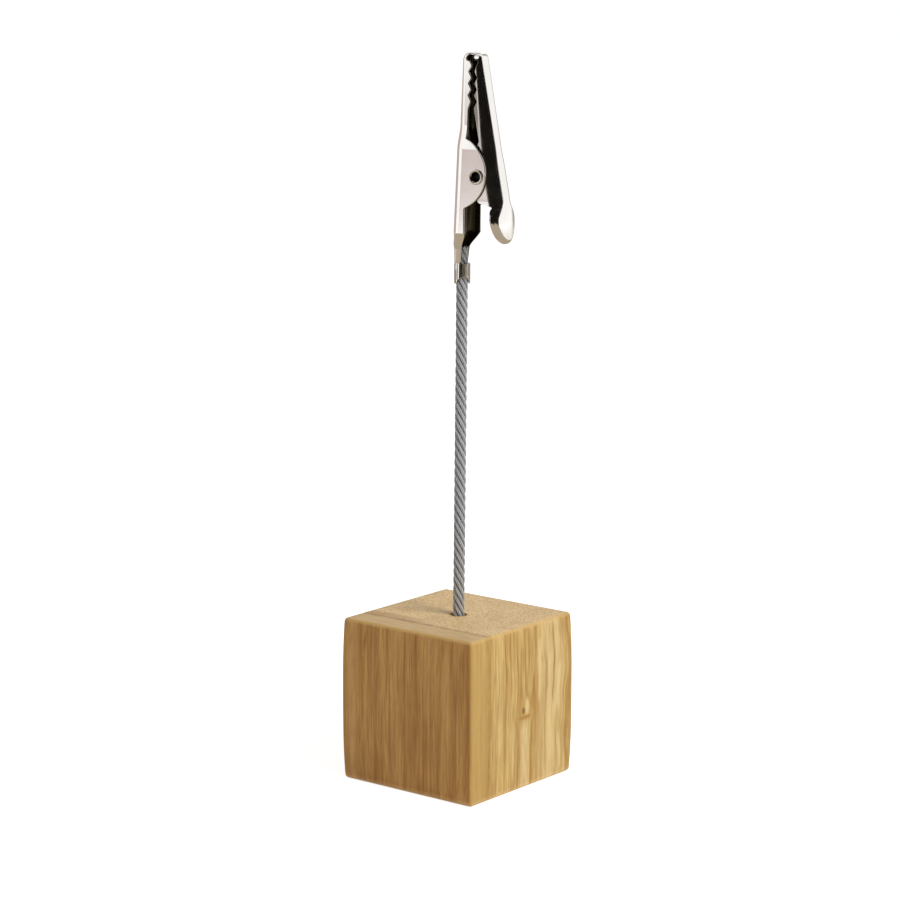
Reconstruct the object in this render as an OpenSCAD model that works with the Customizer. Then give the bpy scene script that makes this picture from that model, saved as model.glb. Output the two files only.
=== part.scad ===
// Memo clip holder: a laminated bamboo cube, a stiff stranded steel cable and a sprung alligator clip.
// The origin is the middle of the cube's underside, Z points up, sizes are in millimetres.
// The clip is drawn in its own frame: X from the fixed jaw to the moving jaw, Y across the sheet's back,
// Z up from the lower edge of the barrel along the cable.

/* [Block] */
// Side of the bamboo cube
block_side = 30; // [24:0.5:50]
// Rounding of the cube's edges
block_edge_r = 0.7; // [0.3:0.1:2]
// Chamfer round the cube's underside
underside_chamfer = 0.5; // [0.2:0.1:1.5]
// Diameter of the hole drilled for the cable
hole_d = 3; // [2.7:0.1:5]
// Depth of the hole
hole_depth = 15; // [8:0.5:20]
// Distance of the hole from the middle of the cube's top, towards the lean
hole_offset = 0.15; // [0:0.05:1]
// Distance of the glue's top below the top of the cube
glue_sink = 0.5; // [0.2:0.1:2]

/* [Cable] */
// Diameter of the cable over its strands
cable_d = 2.15; // [1.6:0.05:2.4]
// Length of cable between the cube and the clip's barrel
stem_length = 60.4; // [30:0.5:100]
// Length of cable that stands out above the barrel
cable_end = 2.9; // [1:0.1:4]
// Length in which a strand makes one turn
lay_length = 10; // [8:0.5:16]
// Outer strands round the core
strand_count = 6; // [5:1:7]
// Lean of the stem away from upright, in degrees
stem_lean = 0.45; // [0:0.05:3]
// Direction of the lean, seen from above, in degrees from X
lean_toward = -51.4; // [-180:1:180]

/* [Clip] */
// Direction in which the moving jaw opens, seen from above, in degrees from X
clip_toward = -80.4; // [-180:1:180]
// Thickness of the sheet steel
sheet_t = 0.35; // [0.25:0.05:0.5]
// Length of the barrel crimped round the cable
barrel_len = 3.6; // [2.5:0.1:6]
// Length of the neck between the barrel and the full width of the tail
neck_len = 5.4; // [4:0.1:8]
// Length of the tail from the neck up to the pivot
tail_len = 10.3; // [9:0.1:14]
// Length of the jaws from the pivot to the tip
jaw_len = 21.5; // [17:0.1:30]
// Width over the fixed jaw's ears and tail
ear_span = 6.4; // [5.6:0.1:9]
// Outer radius of the fixed jaw's bends
fixed_bend_r = 2; // [1.2:0.1:2.4]
// Outer radius of the moving jaw's bends
moving_bend_r = 2.3; // [1.2:0.1:2.6]
// Width of the fixed jaw's nose beside its ears
nose_root_w = 4.9; // [4.6:0.1:5.4]
// Width of the moving jaw's nose beside its ears
moving_root_w = 4.7; // [4.2:0.1:4.8]
// Width of each nose at its end
nose_tip_w = 3.6; // [3:0.1:4.4]
// Distance of the pivot from the cable's axis
pivot_out = 4.3; // [3.8:0.1:5]
// Radius of the fixed jaw's ears
ear_r = 6.45; // [6:0.05:7.5]
// Radius of the moving jaw's ears round the pivot
inner_ear_r = 3; // [2.6:0.1:3.3]
// Distance of the closed mouth from the cable's axis
mouth_out = 2.7; // [2.3:0.1:3]
// Distance of the fixed jaw's back from the cable's axis at the tail
back_at_tail = 0.9; // [0.6:0.1:1.2]
// Distance of the moving jaw's back beyond the pivot
back_past_pivot = 3.9; // [3.6:0.1:4.6]

/* [Mouth] */
// Spacing of the teeth
tooth_pitch = 2.05; // [1.6:0.05:2.4]
// Depth of the notches between teeth
tooth_depth = 0.6; // [0.3:0.05:0.8]
// Teeth on each edge of the fixed jaw
tooth_count = 4; // [3:1:5]
// Distance of the fixed jaw's teeth behind the mouth
fixed_teeth_back = 0.25; // [0.1:0.05:0.5]
// Distance of the moving jaw's teeth behind the mouth
moving_teeth_back = 0.75; // [0.5:0.05:1]
// Radius in which the fixed jaw's nose bends over at its tip
fixed_lip_r = 1.5; // [1:0.05:1.8]
// Radius in which the moving jaw's nose bends over at its tip
moving_lip_r = 0.8; // [0.6:0.05:1.1]
// Angle through which each nose bends over, in degrees
lip_turn = 98; // [85:1:105]
// Width of the lip at the end of each nose
lip_w = 2.6; // [2:0.1:3]
// Gap between the closed lips
lip_gap = 0.12; // [0.05:0.01:0.3]

/* [Handle] */
// Width of the moving jaw's handle
handle_w = 7.2; // [6.6:0.1:9]
// Distance of the handle's end below the pivot
handle_reach = 11.8; // [10.5:0.1:13]
// Depth of the handle's rim where it is widest
rim_depth = 2.1; // [1.5:0.1:2.6]
// Depth of the handle's rim at its end
rim_end_depth = 0.85; // [0.6:0.05:1.4]
// Outer radius of the rim's bend
rim_bend_r = 1.9; // [0.8:0.1:2]

/* [Pivot and spring] */
// Outer diameter of the tubular rivet
rivet_d = 2.2; // [1.8:0.1:3.4]
// Wall of the tubular rivet
rivet_wall = 0.25; // [0.15:0.05:0.4]
// Width of the rivet's rolled rims beyond its tube
rivet_rim = 0.25; // [0.2:0.05:0.6]
// Diameter of the spring's wire
wire_d = 0.5; // [0.4:0.05:0.6]
// Turns of the spring
spring_turns = 5; // [3:1:6]
// Length of the spring's legs
spring_leg = 8.4; // [6:0.1:9]
// Angle of the spring's legs to the clip's length, in degrees
leg_lean = 20; // [16:1:22]

/* [Clearances] */
// Gap between neighbouring strands of the cable
strand_gap = 0.02; // [0.01:0.01:0.05]
// Gap between the cable and the pieces that grip it
grip_gap = 0.03; // [0.02:0.01:0.1]
// Gap between the glue and the wall of its hole
glue_gap = 0.02; // [0.01:0.01:0.1]
// Gap between the moving jaw's ears and the fixed jaw's ears
ear_gap = 0.15; // [0.1:0.05:0.25]
// Radial gap between the rivet and the bores of the moving jaw
pivot_gap = 0.05; // [0.03:0.01:0.08]
// Radial gap between the rivet and the bores of the fixed jaw
seat_gap = 0.02; // [0.01:0.01:0.04]
// Radial gap between the rivet and the spring's coil
spring_gap = 0.15; // [0.1:0.05:0.2]

/* [Hidden] */
$fn = 96;

// Cable
strand_lean = atan(2 * PI * cable_d / 3 / lay_length);
strand_half = sin(180 / strand_count);
strand_r = (cable_d / 2 * strand_half - strand_gap / 2) / (1 / cos(strand_lean) + strand_half);
strand_lay_r = cable_d / 2 - strand_r;
core_r = strand_lay_r - strand_r - strand_gap;
cable_len = hole_depth + stem_length + barrel_len + cable_end;
cable_twist = 360 * cable_len / lay_length;
strand_sides = 6;
strand_steps_per_turn = 10;
strand_steps = ceil(cable_len / lay_length * strand_steps_per_turn);

// Heights along the clip
neck_top = barrel_len + neck_len;
pivot_up = neck_top + tail_len;
tip_up = pivot_up + jaw_len;

// Clip outlines
barrel_r = cable_d / 2 + grip_gap + sheet_t;
barrel_bore_r = barrel_r - sheet_t;
barrel_arch_r = 0.85 * barrel_r;
seam_turn = -50;
seam_w = 0.16;
bend_steps = 4;
fixed_half = ear_span / 2;
moving_half = fixed_half - sheet_t - ear_gap;
nose_root_half = nose_root_w / 2;
moving_root_half = moving_root_w / 2;
nose_tip_half = nose_tip_w / 2;
tail_edge_rise = 1.05;
tail_edge = back_at_tail + tail_edge_rise;
ear_center_back = 4.6;
ear_center_out = pivot_out - ear_center_back;
ear_center_rise = 0.5;
ear_center_up = pivot_up + ear_center_rise;
ear_steps = 12;
nose_bend_start = 4.6;
nose_tip_bend = 0.8;
moving_tip_bend = 1;
bend_end = 0.05;
nose_slope = 0.035;
fixed_taper_start = 2;
fixed_taper_end = 8;
fixed_teeth_out = mouth_out - fixed_teeth_back;
nose_edge_rise = 0.15;
nose_edge = fixed_teeth_out - tooth_depth + nose_edge_rise;
tooth_top_drop = 2.35;
tooth_top = tip_up - tooth_top_drop;
tooth_low = tooth_top - (tooth_count - 1) * tooth_pitch;
tooth_run = 1.35;
fixed_lip_notch = 0.5;
lip_steps = 5;
lip_edge_r = sheet_t + 0.02;
moving_tip_drop = 0.3;
moving_tip_up = tip_up - moving_tip_drop;
moving_lip_back = 1.45;
moving_lip_run = 0.5;
moving_taper_start = 0.5;
moving_taper_end = 6;
inner_ear_angle = 52;
inner_ear_steps = 6;
inner_ear_top = 6.1;
throat_rise = 0.05;
throat_pitches = 1.1;

// Root of the neck, which starts inside the barrel's wall
root_inset = 0.05;
root_thinning = 0.1;
root_overlap = 0.8;
root_reach = 0.15;
neck_low = barrel_len + 0.3;
neck_low_reach = 0.4;
neck_flare = 0.2;
neck_steps = 3;
cable_top = barrel_len + cable_end + grip_gap;

// Handle
handle_round = handle_w / 2;
handle_round_up = pivot_up - handle_reach + handle_round;
handle_bow_drop = 2.8;
handle_bow_up = pivot_up - handle_bow_drop;
handle_flat_drop = 9.3;
handle_flat_up = pivot_up - handle_flat_drop;
handle_flare_drop = 4.4;
// Corners of the skirt between the ears and the handle, beyond and below the pivot
skirt = [[2.8, -5.7], [3, -5.25], [0.3, -4.6]];
handle_round_end = 84;
handle_round_steps = 8;

// Pivot and spring
rim_t = 0.32;
coil_r = rivet_d / 2 + wire_d / 2 + spring_gap;
coil_gap = 0.06;
coil_pitch = wire_d + coil_gap;
coil_half = spring_turns * coil_pitch / 2;
coil_steps_per_turn = 12;
wire_sides = 6;

strand_names = [for (i = [1:strand_count]) str("cable_strand_", i)];

// Places things on the leaning stem, with Z along the cable from the top of the cube
module on_stem() {
    translate([0, 0, block_side])
        rotate([0, 0, lean_toward])
            translate([hole_offset, 0, 0])
                rotate([0, stem_lean, 0])
                    rotate([0, 0, -lean_toward])
                        children();
}

// Places things in the clip's frame
module on_clip() {
    on_stem() translate([0, 0, stem_length]) rotate([0, 0, clip_toward]) children();
}

// Square with rounded corners
module rounded_square(side, r) {
    union() {
        square([side, side - 2 * r], center = true);
        square([side - 2 * r, side], center = true);
        for (x = [-1, 1]) {
            for (y = [-1, 1]) {
                translate([x * (side / 2 - r), y * (side / 2 - r)]) circle(r = r);
            }
        }
    }
}

// Bar with the cube's side view, rounded above and chamfered below, whose length runs along Y
module side_bar() {
    half = block_side / 2;
    flat = half - underside_chamfer;
    rotate([90, 0, 0]) linear_extrude(height = block_side, center = true) union() {
        intersection() {
            rounded_square(block_side, block_edge_r);
            translate([-half, 0]) square([block_side, half]);
        }
        polygon([[-half, 0], [-half, -flat], [-flat, -half], [flat, -half], [half, -flat], [half, 0]]);
    }
}

module bamboo_block() {
    color([0.80, 0.64, 0.38]) difference() {
        translate([0, 0, block_side / 2]) intersection() {
            linear_extrude(height = block_side, center = true) rounded_square(block_side, block_edge_r);
            side_bar();
            rotate([0, 0, 90]) side_bar();
        }
        on_stem() translate([0, 0, -hole_depth]) cylinder(d = hole_d, h = hole_depth + 1);
    }
}

module glue_plug() {
    color([0.30, 0.22, 0.14]) on_stem() translate([0, 0, -hole_depth]) difference() {
        cylinder(r = hole_d / 2 - glue_gap, h = hole_depth - glue_sink);
        translate([0, 0, -1]) cylinder(r = cable_d / 2 + grip_gap, h = hole_depth + 2);
    }
}

module cable_core() {
    color([0.45, 0.46, 0.46]) on_stem() translate([0, 0, -hole_depth]) cylinder(r = core_r, h = cable_len);
}

// One strand, wound left-handed round the core
module cable_strand(index) {
    start = 360 * index / strand_count;
    color([0.62, 0.63, 0.62]) on_stem() translate([0, 0, -hole_depth])
        linear_extrude(height = cable_len, twist = cable_twist, slices = strand_steps, $fn = strand_sides)
            rotate(start) translate([strand_lay_r, 0])
                polygon([for (i = [0:strand_sides - 1]) let (a = 360 * i / strand_sides)
                    [strand_r * cos(a), strand_r / cos(strand_lean) * sin(a)]]);
}

// A value that runs from one level to another between two heights, with a soft start and end
function ease(w, w0, w1, a, b) =
    let (t = min(1, max(0, (w - w0) / (w1 - w0))))
    a + (b - a) * t * t * (3 - 2 * t);

// A value that runs straight between two heights and keeps its level outside them
function ramp(w, w0, w1, a, b) = a + (b - a) * min(1, max(0, (w - w0) / (w1 - w0)));

// One station of a bent sheet: [out, up, tip, half width, bend radius, reach of the flange, turn, thickness].
// tip turns the section over at a lip, turn swings the wall round a rounded end.
function station(out, up, half, bend, reach, tip = 0, turn = 0, t = sheet_t) =
    [out, up, tip, half, bend, reach, turn, t];

// Points of one half of a section, from the middle of the back to the free edge. A flange whose reach
// is below zero ends inside its bend.
function half_section(s, side, inset) =
    let (
        out = s[0],
        up = s[1],
        tip = s[2],
        half = s[3],
        bend = s[4],
        reach = s[5],
        turn = s[6],
        r = bend - inset * s[7],
        cut = max(0, bend_end - reach),
        full = acos(min(1, cut / r)),
        arc = [for (i = [0:bend_steps]) let (a = full * i / bend_steps)
            [bend - r * cos(a), r * sin(a) - bend]],
        edge = [bend + reach, r * sin(full) - bend],
        flat = concat(arc, [edge])
    )
    [for (p = flat)
        let (depth = p[0], along = -p[1] * sin(turn))
        [
            out + depth * cos(tip) + along * sin(tip),
            side * (half + p[1] * cos(turn)),
            up - depth * sin(tip) + along * cos(tip)
        ]];

function reversed(list) = [for (i = [len(list) - 1:-1:0]) list[i]];

// Outer side from the near free edge round to the far one, then the inner side back
function ring(s) = concat(
    reversed(half_section(s, -1, 0)),
    half_section(s, 1, 0),
    reversed(half_section(s, 1, 1)),
    half_section(s, -1, 1)
);

function quad(a, b, c, d) = [[a, c, b], [a, d, c]];

// Bent sheet through a list of stations that rise, with its first end open or closed by a rounded wall.
// A sheet that faces back has its hollow towards the fixed jaw.
module bent_sheet(stations, closed_start = false, faces_back = false) {
    m = 2 * (bend_steps + 2);
    n = 2 * m;
    last = len(stations) - 1;
    turned = faces_back ? -1 : 1;
    points = [for (s = stations) for (p = ring(s)) [turned * p[0], p[1], p[2]]];
    sides = [for (k = [0:last - 1]) for (i = [0:n - 1])
        each quad(k * n + i, (k + 1) * n + i, (k + 1) * n + (i + 1) % n, k * n + (i + 1) % n)];
    open = [for (i = [0:m - 2]) each quad(i, i + 1, n - 2 - i, n - 1 - i)];
    outer = [for (i = [0:m / 2 - 2]) each quad(i, i + 1, m - 2 - i, m - 1 - i)];
    inner = [for (i = [0:m / 2 - 2]) each quad(m + i, m + i + 1, n - 2 - i, n - 1 - i)];
    rim = quad(0, m - 1, m, n - 1);
    base = last * n;
    end = [for (i = [0:m - 2])
        each quad(base + n - 1 - i, base + n - 2 - i, base + i + 1, base + i)];
    faces = concat(sides, end, closed_start ? concat(outer, inner, rim) : open);
    polyhedron(
        points = points,
        faces = faces_back ? [for (f = faces) reversed(f)] : faces,
        convexity = 8
    );
}

// Shape of the fixed jaw

function fixed_back(w) = nose_slope * min(tip_up - neck_top, max(0, w - neck_top)) - back_at_tail;

function fixed_half_at(w) =
    w < pivot_up + fixed_taper_end
        ? ease(w, pivot_up + fixed_taper_start, pivot_up + fixed_taper_end, fixed_half, nose_root_half)
        : ramp(w, pivot_up + fixed_taper_end, tip_up, nose_root_half, nose_tip_half);

function nose_bend(w) = ramp(w, pivot_up + nose_bend_start, tip_up, fixed_bend_r, nose_tip_bend);

function fixed_station(w, edge) =
    let (back = fixed_back(w), bend = nose_bend(w))
    station(back, w, fixed_half_at(w), bend, edge - back - bend);

// Lip of a nose: the back bends over and runs to the mouth, from a full section at its start
function lip_stations(start, end, r) =
    let (
        back = start[0],
        bend_up = start[1],
        top_out = back + r * (1 - cos(lip_turn)),
        run = (end - top_out) / sin(lip_turn)
    )
    concat(
        [for (i = [0:lip_steps]) let (a = lip_turn * i / lip_steps)
            station(
                back + r * (1 - cos(a)),
                bend_up + r * sin(a),
                ramp(i, 0, lip_steps, start[3], lip_w / 2),
                ramp(i, 0, lip_steps, start[4], lip_edge_r),
                ramp(i, 0, 2, start[5], 0),
                tip = a
            )],
        [station(
            end,
            bend_up + r * sin(lip_turn) + run * cos(lip_turn),
            lip_w / 2,
            lip_edge_r,
            0,
            tip = lip_turn
        )]
    );

// Half width of the neck, which opens a little as far as the cable reaches, and then to the tail's width
function neck_half(w) =
    barrel_r
    + ramp(w, neck_low, cable_top, 0, neck_flare)
    + ramp(w, cable_top, neck_top, 0, fixed_half - barrel_r - neck_flare);

// The neck's back stays on the barrel as far as the cable reaches, and then runs over to the tail
function neck_station(w) =
    station(
        ease(w, cable_top, neck_top, -barrel_r, -back_at_tail),
        w,
        neck_half(w),
        ramp(w, cable_top, neck_top, barrel_r, fixed_bend_r),
        ramp(w, neck_low, neck_top, neck_low_reach, tail_edge + back_at_tail - fixed_bend_r)
    );

function ear_edge(a) = [ear_center_out + ear_r * cos(a), ear_center_up + ear_r * sin(a)];

function fixed_stations() =
    let (
        root_r = barrel_r - root_inset,
        wall = sheet_t - root_thinning,
        ear_low = -acos((tail_edge - ear_center_out) / ear_r),
        ear_high = acos((nose_edge - ear_center_out) / ear_r),
        lip_start = fixed_station(tip_up - fixed_lip_r, fixed_teeth_out - fixed_lip_notch)
    )
    concat(
        [for (w = [barrel_len - root_overlap, barrel_len + root_inset])
            station(-root_r, w, root_r, root_r, root_reach, t = wall)],
        [neck_station(neck_low)],
        [for (i = [0:neck_steps]) neck_station(ramp(i, 0, neck_steps, cable_top, neck_top))],
        [for (i = [0:ear_steps]) let (p = ear_edge(ear_low + (ear_high - ear_low) * i / ear_steps))
            fixed_station(p[1], p[0])],
        [fixed_station(tooth_low - tooth_run, nose_edge)],
        [for (i = [0:2 * tooth_count - 2])
            fixed_station(tooth_low + i * tooth_pitch / 2, fixed_teeth_out - (i % 2) * tooth_depth)],
        lip_stations(lip_start, mouth_out - lip_gap / 2, fixed_lip_r)
    );

// Barrel crimped round the cable, with a seam between its wings and an arched lower edge
module barrel() {
    difference() {
        cylinder(r = barrel_r, h = barrel_len);
        translate([0, 0, -1]) cylinder(r = barrel_bore_r, h = barrel_len + 2);
        rotate([0, 0, seam_turn]) {
            translate([0, -seam_w / 2, -1]) cube([barrel_r + 1, seam_w, barrel_len + 2]);
            rotate([0, 90, 0]) cylinder(r = barrel_arch_r, h = barrel_r + 1);
        }
    }
}

module pivot_bores(r) {
    translate([pivot_out, 0, pivot_up]) rotate([90, 0, 0]) cylinder(r = r, h = 2 * ear_span, center = true);
}

module fixed_jaw() {
    color([0.80, 0.78, 0.76]) on_clip() difference() {
        union() {
            barrel();
            bent_sheet(fixed_stations());
        }
        pivot_bores(rivet_d / 2 + seat_gap);
    }
}

// Shape of the moving jaw, whose stations run with their depth towards the fixed jaw

moving_tip_out = mouth_out + moving_lip_back;
moving_slope = (pivot_out + back_past_pivot - moving_tip_out) / (moving_tip_up - pivot_up);

function moving_back(w) =
    let (
        straight = pivot_out + back_past_pivot + moving_slope * (pivot_up - max(w, handle_bow_up)),
        fall = handle_bow_up - min(handle_bow_up, max(w, handle_flat_up)),
        span = handle_bow_up - handle_flat_up
    )
    straight + moving_slope * fall * (1 - fall / (2 * span));

function moving_half_at(w) =
    let (taper_up = pivot_up + moving_taper_end)
    w < pivot_up
        ? ease(w, handle_round_up, pivot_up - handle_flare_drop, handle_round, moving_half)
        : w < taper_up
            ? ease(w, pivot_up + moving_taper_start, taper_up, moving_half, moving_root_half)
            : ramp(w, taper_up, moving_tip_up, moving_root_half, nose_tip_half);

function moving_bend(w) =
    w < pivot_up
        ? ease(w, handle_round_up, pivot_up - handle_flare_drop, rim_bend_r, moving_bend_r)
        : ramp(w, pivot_up + nose_bend_start, moving_tip_up, moving_bend_r, moving_tip_bend);

function moving_station(w, edge) =
    let (back = moving_back(w), bend = moving_bend(w))
    station(-back, w, moving_half_at(w), bend, back - edge - bend);

// Stations of the handle's rounded end, where the rim swings round and its depth falls
function handle_end() =
    [for (i = [handle_round_steps:-1:1])
        let (
            a = handle_round_end * i / handle_round_steps,
            w = handle_round_up - handle_round * sin(a),
            depth = ramp(i, 0, handle_round_steps, rim_depth, rim_end_depth)
        )
        station(-moving_back(w), w, handle_round * cos(a), rim_bend_r, depth - rim_bend_r, turn = a)];

function moving_stations() =
    let (
        teeth_out = mouth_out + moving_teeth_back,
        notch_out = teeth_out + tooth_depth,
        lip_up = moving_tip_up - moving_lip_r,
        gaps = tooth_count - 1,
        top_tooth = tooth_top - tooth_pitch / 2,
        low_tooth = top_tooth - (gaps - 1) * tooth_pitch
    )
    concat(
        handle_end(),
        [moving_station(handle_round_up, moving_back(handle_round_up) - rim_depth)],
        [for (p = skirt) moving_station(pivot_up + p[1], pivot_out + p[0])],
        [for (i = [-inner_ear_steps:2:inner_ear_steps])
            let (a = 180 - inner_ear_angle * i / inner_ear_steps)
            moving_station(pivot_up + inner_ear_r * sin(a), pivot_out + inner_ear_r * cos(a))],
        [moving_station(pivot_up + inner_ear_top, pivot_out)],
        [moving_station(low_tooth - throat_pitches * tooth_pitch, teeth_out + throat_rise)],
        [for (i = [-1:2 * gaps - 2])
            moving_station(low_tooth + i * tooth_pitch / 2, i % 2 == 0 ? teeth_out : notch_out)],
        [moving_station(lip_up - moving_lip_run, notch_out)],
        lip_stations(moving_station(lip_up, teeth_out), -(mouth_out + lip_gap / 2), moving_lip_r)
    );

module moving_jaw() {
    color([0.76, 0.75, 0.73]) on_clip() difference() {
        bent_sheet(moving_stations(), closed_start = true, faces_back = true);
        pivot_bores(rivet_d / 2 + pivot_gap);
    }
}

// Tubular rivet: a tube through both pairs of ears, with its ends rolled out to rims
module pivot_rivet() {
    rim_r = rivet_d / 2 + rivet_rim;
    bore_r = rivet_d / 2 - rivet_wall;
    seat = fixed_half + seat_gap;
    color([0.70, 0.68, 0.64]) on_clip() translate([pivot_out, 0, pivot_up]) rotate([90, 0, 0]) {
        rotate_extrude() union() {
            translate([bore_r, -seat - rim_t / 2]) square([rivet_wall, 2 * seat + rim_t]);
            for (side = [-1, 1]) {
                translate([bore_r + rim_t / 2, side * (seat + rim_t / 2)]) circle(d = rim_t);
                translate([rim_r - rim_t / 2, side * (seat + rim_t / 2)]) circle(d = rim_t);
                translate([bore_r + rim_t / 2, side * (seat + rim_t / 2) - rim_t / 2])
                    square([rim_r - bore_r - rim_t, rim_t]);
            }
        }
    }
}

// Torsion spring: a coil round the rivet whose legs press the tail and the handle apart

// Points of the wire's path: [out, across, up, turn of the wire's own section]
function spring_path() =
    let (
        turn_all = 360 * spring_turns + 180 - 2 * leg_lean,
        steps = ceil(turn_all / 360 * coil_steps_per_turn),
        first = 180 - leg_lean,
        coil = [for (i = [0:steps]) let (a = first - turn_all * i / steps)
            [
                coil_r * cos(a),
                coil_half * (2 * i / steps - 1),
                coil_r * sin(a),
                a
            ]],
        head = coil[0],
        foot = coil[steps]
    )
    concat(
        [[head[0] - spring_leg * sin(leg_lean), head[1], head[2] - spring_leg * cos(leg_lean), first]],
        coil,
        [[foot[0] + spring_leg * sin(leg_lean), foot[1], foot[2] - spring_leg * cos(leg_lean), foot[3]]]
    );

module jaw_spring() {
    path = spring_path();
    n = wire_sides;
    last = len(path) - 1;
    points = [for (p = path) for (j = [0:n - 1]) let (b = 360 * j / n, r = wire_d / 2)
        [
            p[0] + r * cos(b) * cos(p[3]),
            p[1] + r * sin(b),
            p[2] + r * cos(b) * sin(p[3])
        ]];
    sides = [for (k = [0:last - 1]) for (j = [0:n - 1])
        each quad(k * n + j, (k + 1) * n + j, (k + 1) * n + (j + 1) % n, k * n + (j + 1) % n)];
    start = [[for (j = [n - 1:-1:0]) j]];
    end = [[for (j = [0:n - 1]) last * n + j]];
    color([0.55, 0.55, 0.56]) on_clip() translate([pivot_out, 0, pivot_up])
        polyhedron(points = points, faces = concat(sides, start, end), convexity = 8);
}

bamboo_block();
glue_plug();
cable_core();
for (i = [0:strand_count - 1]) {
    cable_strand(i);
}
fixed_jaw();
moving_jaw();
pivot_rivet();
jaw_spring();
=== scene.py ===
"""Memo clip holder: a laminated bamboo cube, a stiff stranded steel cable and a sprung alligator clip."""

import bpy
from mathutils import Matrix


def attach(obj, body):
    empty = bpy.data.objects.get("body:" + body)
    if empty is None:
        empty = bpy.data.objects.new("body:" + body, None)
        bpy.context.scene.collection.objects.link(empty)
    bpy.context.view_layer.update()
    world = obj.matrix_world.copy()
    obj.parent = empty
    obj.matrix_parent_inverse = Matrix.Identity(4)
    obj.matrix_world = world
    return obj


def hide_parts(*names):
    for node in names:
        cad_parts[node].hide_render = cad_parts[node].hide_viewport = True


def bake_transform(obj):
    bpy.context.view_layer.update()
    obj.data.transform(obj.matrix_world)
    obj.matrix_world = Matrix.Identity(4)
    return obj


bl_info = {
    "name": "Memo clip holder",
    "version": (1, 0, 0),
    "blender": (4, 5, 0),
    "location": "3D View > Sidebar > Memo clip",
    "description": "Builds a desk memo holder round its measured frame",
    "category": "Add Mesh",
}

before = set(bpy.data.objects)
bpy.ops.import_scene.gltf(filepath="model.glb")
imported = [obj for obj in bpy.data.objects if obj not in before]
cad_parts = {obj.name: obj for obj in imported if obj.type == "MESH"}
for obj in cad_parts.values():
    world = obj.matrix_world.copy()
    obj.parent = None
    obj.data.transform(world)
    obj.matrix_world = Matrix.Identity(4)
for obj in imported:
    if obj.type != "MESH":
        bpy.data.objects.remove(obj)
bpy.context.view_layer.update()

from math import acos, atan, ceil, cos, degrees, pi, radians, sin, sqrt, tan

import bmesh
import bpy
from bpy.props import FloatProperty, FloatVectorProperty, IntProperty, PointerProperty
from mathutils import Matrix, Vector

MM = 0.001
STAND = "stand"
JAW = "jaw"


def length(name, description, default_mm, low_mm, high_mm):
    """A property that holds a length, given here in millimetres."""
    return FloatProperty(
        name=name,
        description=description,
        default=default_mm * MM,
        min=low_mm * MM,
        max=high_mm * MM,
        precision=5,
        unit="LENGTH",
    )


def colour(name, description, default):
    """A property that holds a linear colour."""
    return FloatVectorProperty(
        name=name, description=description, default=default, min=0, max=1, size=3, subtype="COLOR"
    )


class MemoBlockSettings(bpy.types.PropertyGroup):
    """Sizes and colours of the bamboo cube and its glue."""

    side: length("Side", "Side of the cube", 30, 24, 50)
    edge_r: length("Edge radius", "Rounding of the sanded edges", 0.7, 0.3, 2)
    layer_w: length("Layer", "Thickness of one glued layer of bamboo", 5.3, 3, 10)
    seam_w: length("Seam", "Width of the groove along a glue seam", 0.14, 0.05, 0.5)
    seam_depth: length("Seam depth", "Depth of the groove along a glue seam", 0.03, 0, 0.2)
    bow: length("Bow", "Distance that the sanded sides fall away at top and bottom", 0.3, 0, 1)
    hole_d: length("Hole", "Diameter of the hole for the cable", 3, 2.7, 5)
    hole_depth: length("Hole depth", "Depth of the hole", 15, 8, 20)
    hole_offset: length("Hole offset", "Distance of the hole from the middle of the top", 0.15, 0, 1)
    glue_sink: length("Glue level", "Distance of the glue's top below the cube's top", 0.5, 0.2, 2)
    pale: colour("Pale bamboo", "Colour of the flesh between the fibres", (0.80, 0.57, 0.215))
    honey: colour("Honey bamboo", "Colour of the bamboo's darker fibres", (0.50, 0.285, 0.080))
    glue: colour("Glue", "Colour of the glue", (0.045, 0.026, 0.014))


class MemoCableSettings(bpy.types.PropertyGroup):
    """Sizes and colours of the stranded cable."""

    diameter: length("Diameter", "Diameter over the strands", 2.15, 1.6, 2.4)
    stem: length("Stem", "Length between the cube and the barrel", 60.4, 30, 100)
    end: length("End", "Length that stands out above the barrel", 2.9, 1, 4)
    lay: length("Lay", "Length in which a strand makes one turn", 10, 8, 16)
    wire_lay: length("Wire lay", "Length in which a wire makes one turn in its strand", 6.5, 4, 12)
    strands: IntProperty(name="Strands", description="Outer strands", default=6, min=5, max=7)
    wires: IntProperty(name="Wires", description="Wires in each strand", default=7, min=5, max=8)
    strand_gap: length("Strand gap", "Gap between neighbouring strands", 0.02, 0.01, 0.05)
    lean: FloatProperty(
        name="Lean", description="Lean of the stem from upright", default=radians(0.45), subtype="ANGLE"
    )
    lean_toward: FloatProperty(
        name="Lean direction", description="Direction of the lean", default=radians(-51.4), subtype="ANGLE"
    )
    steel: colour("Steel", "Colour of the wires", (0.62, 0.63, 0.64))


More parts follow.
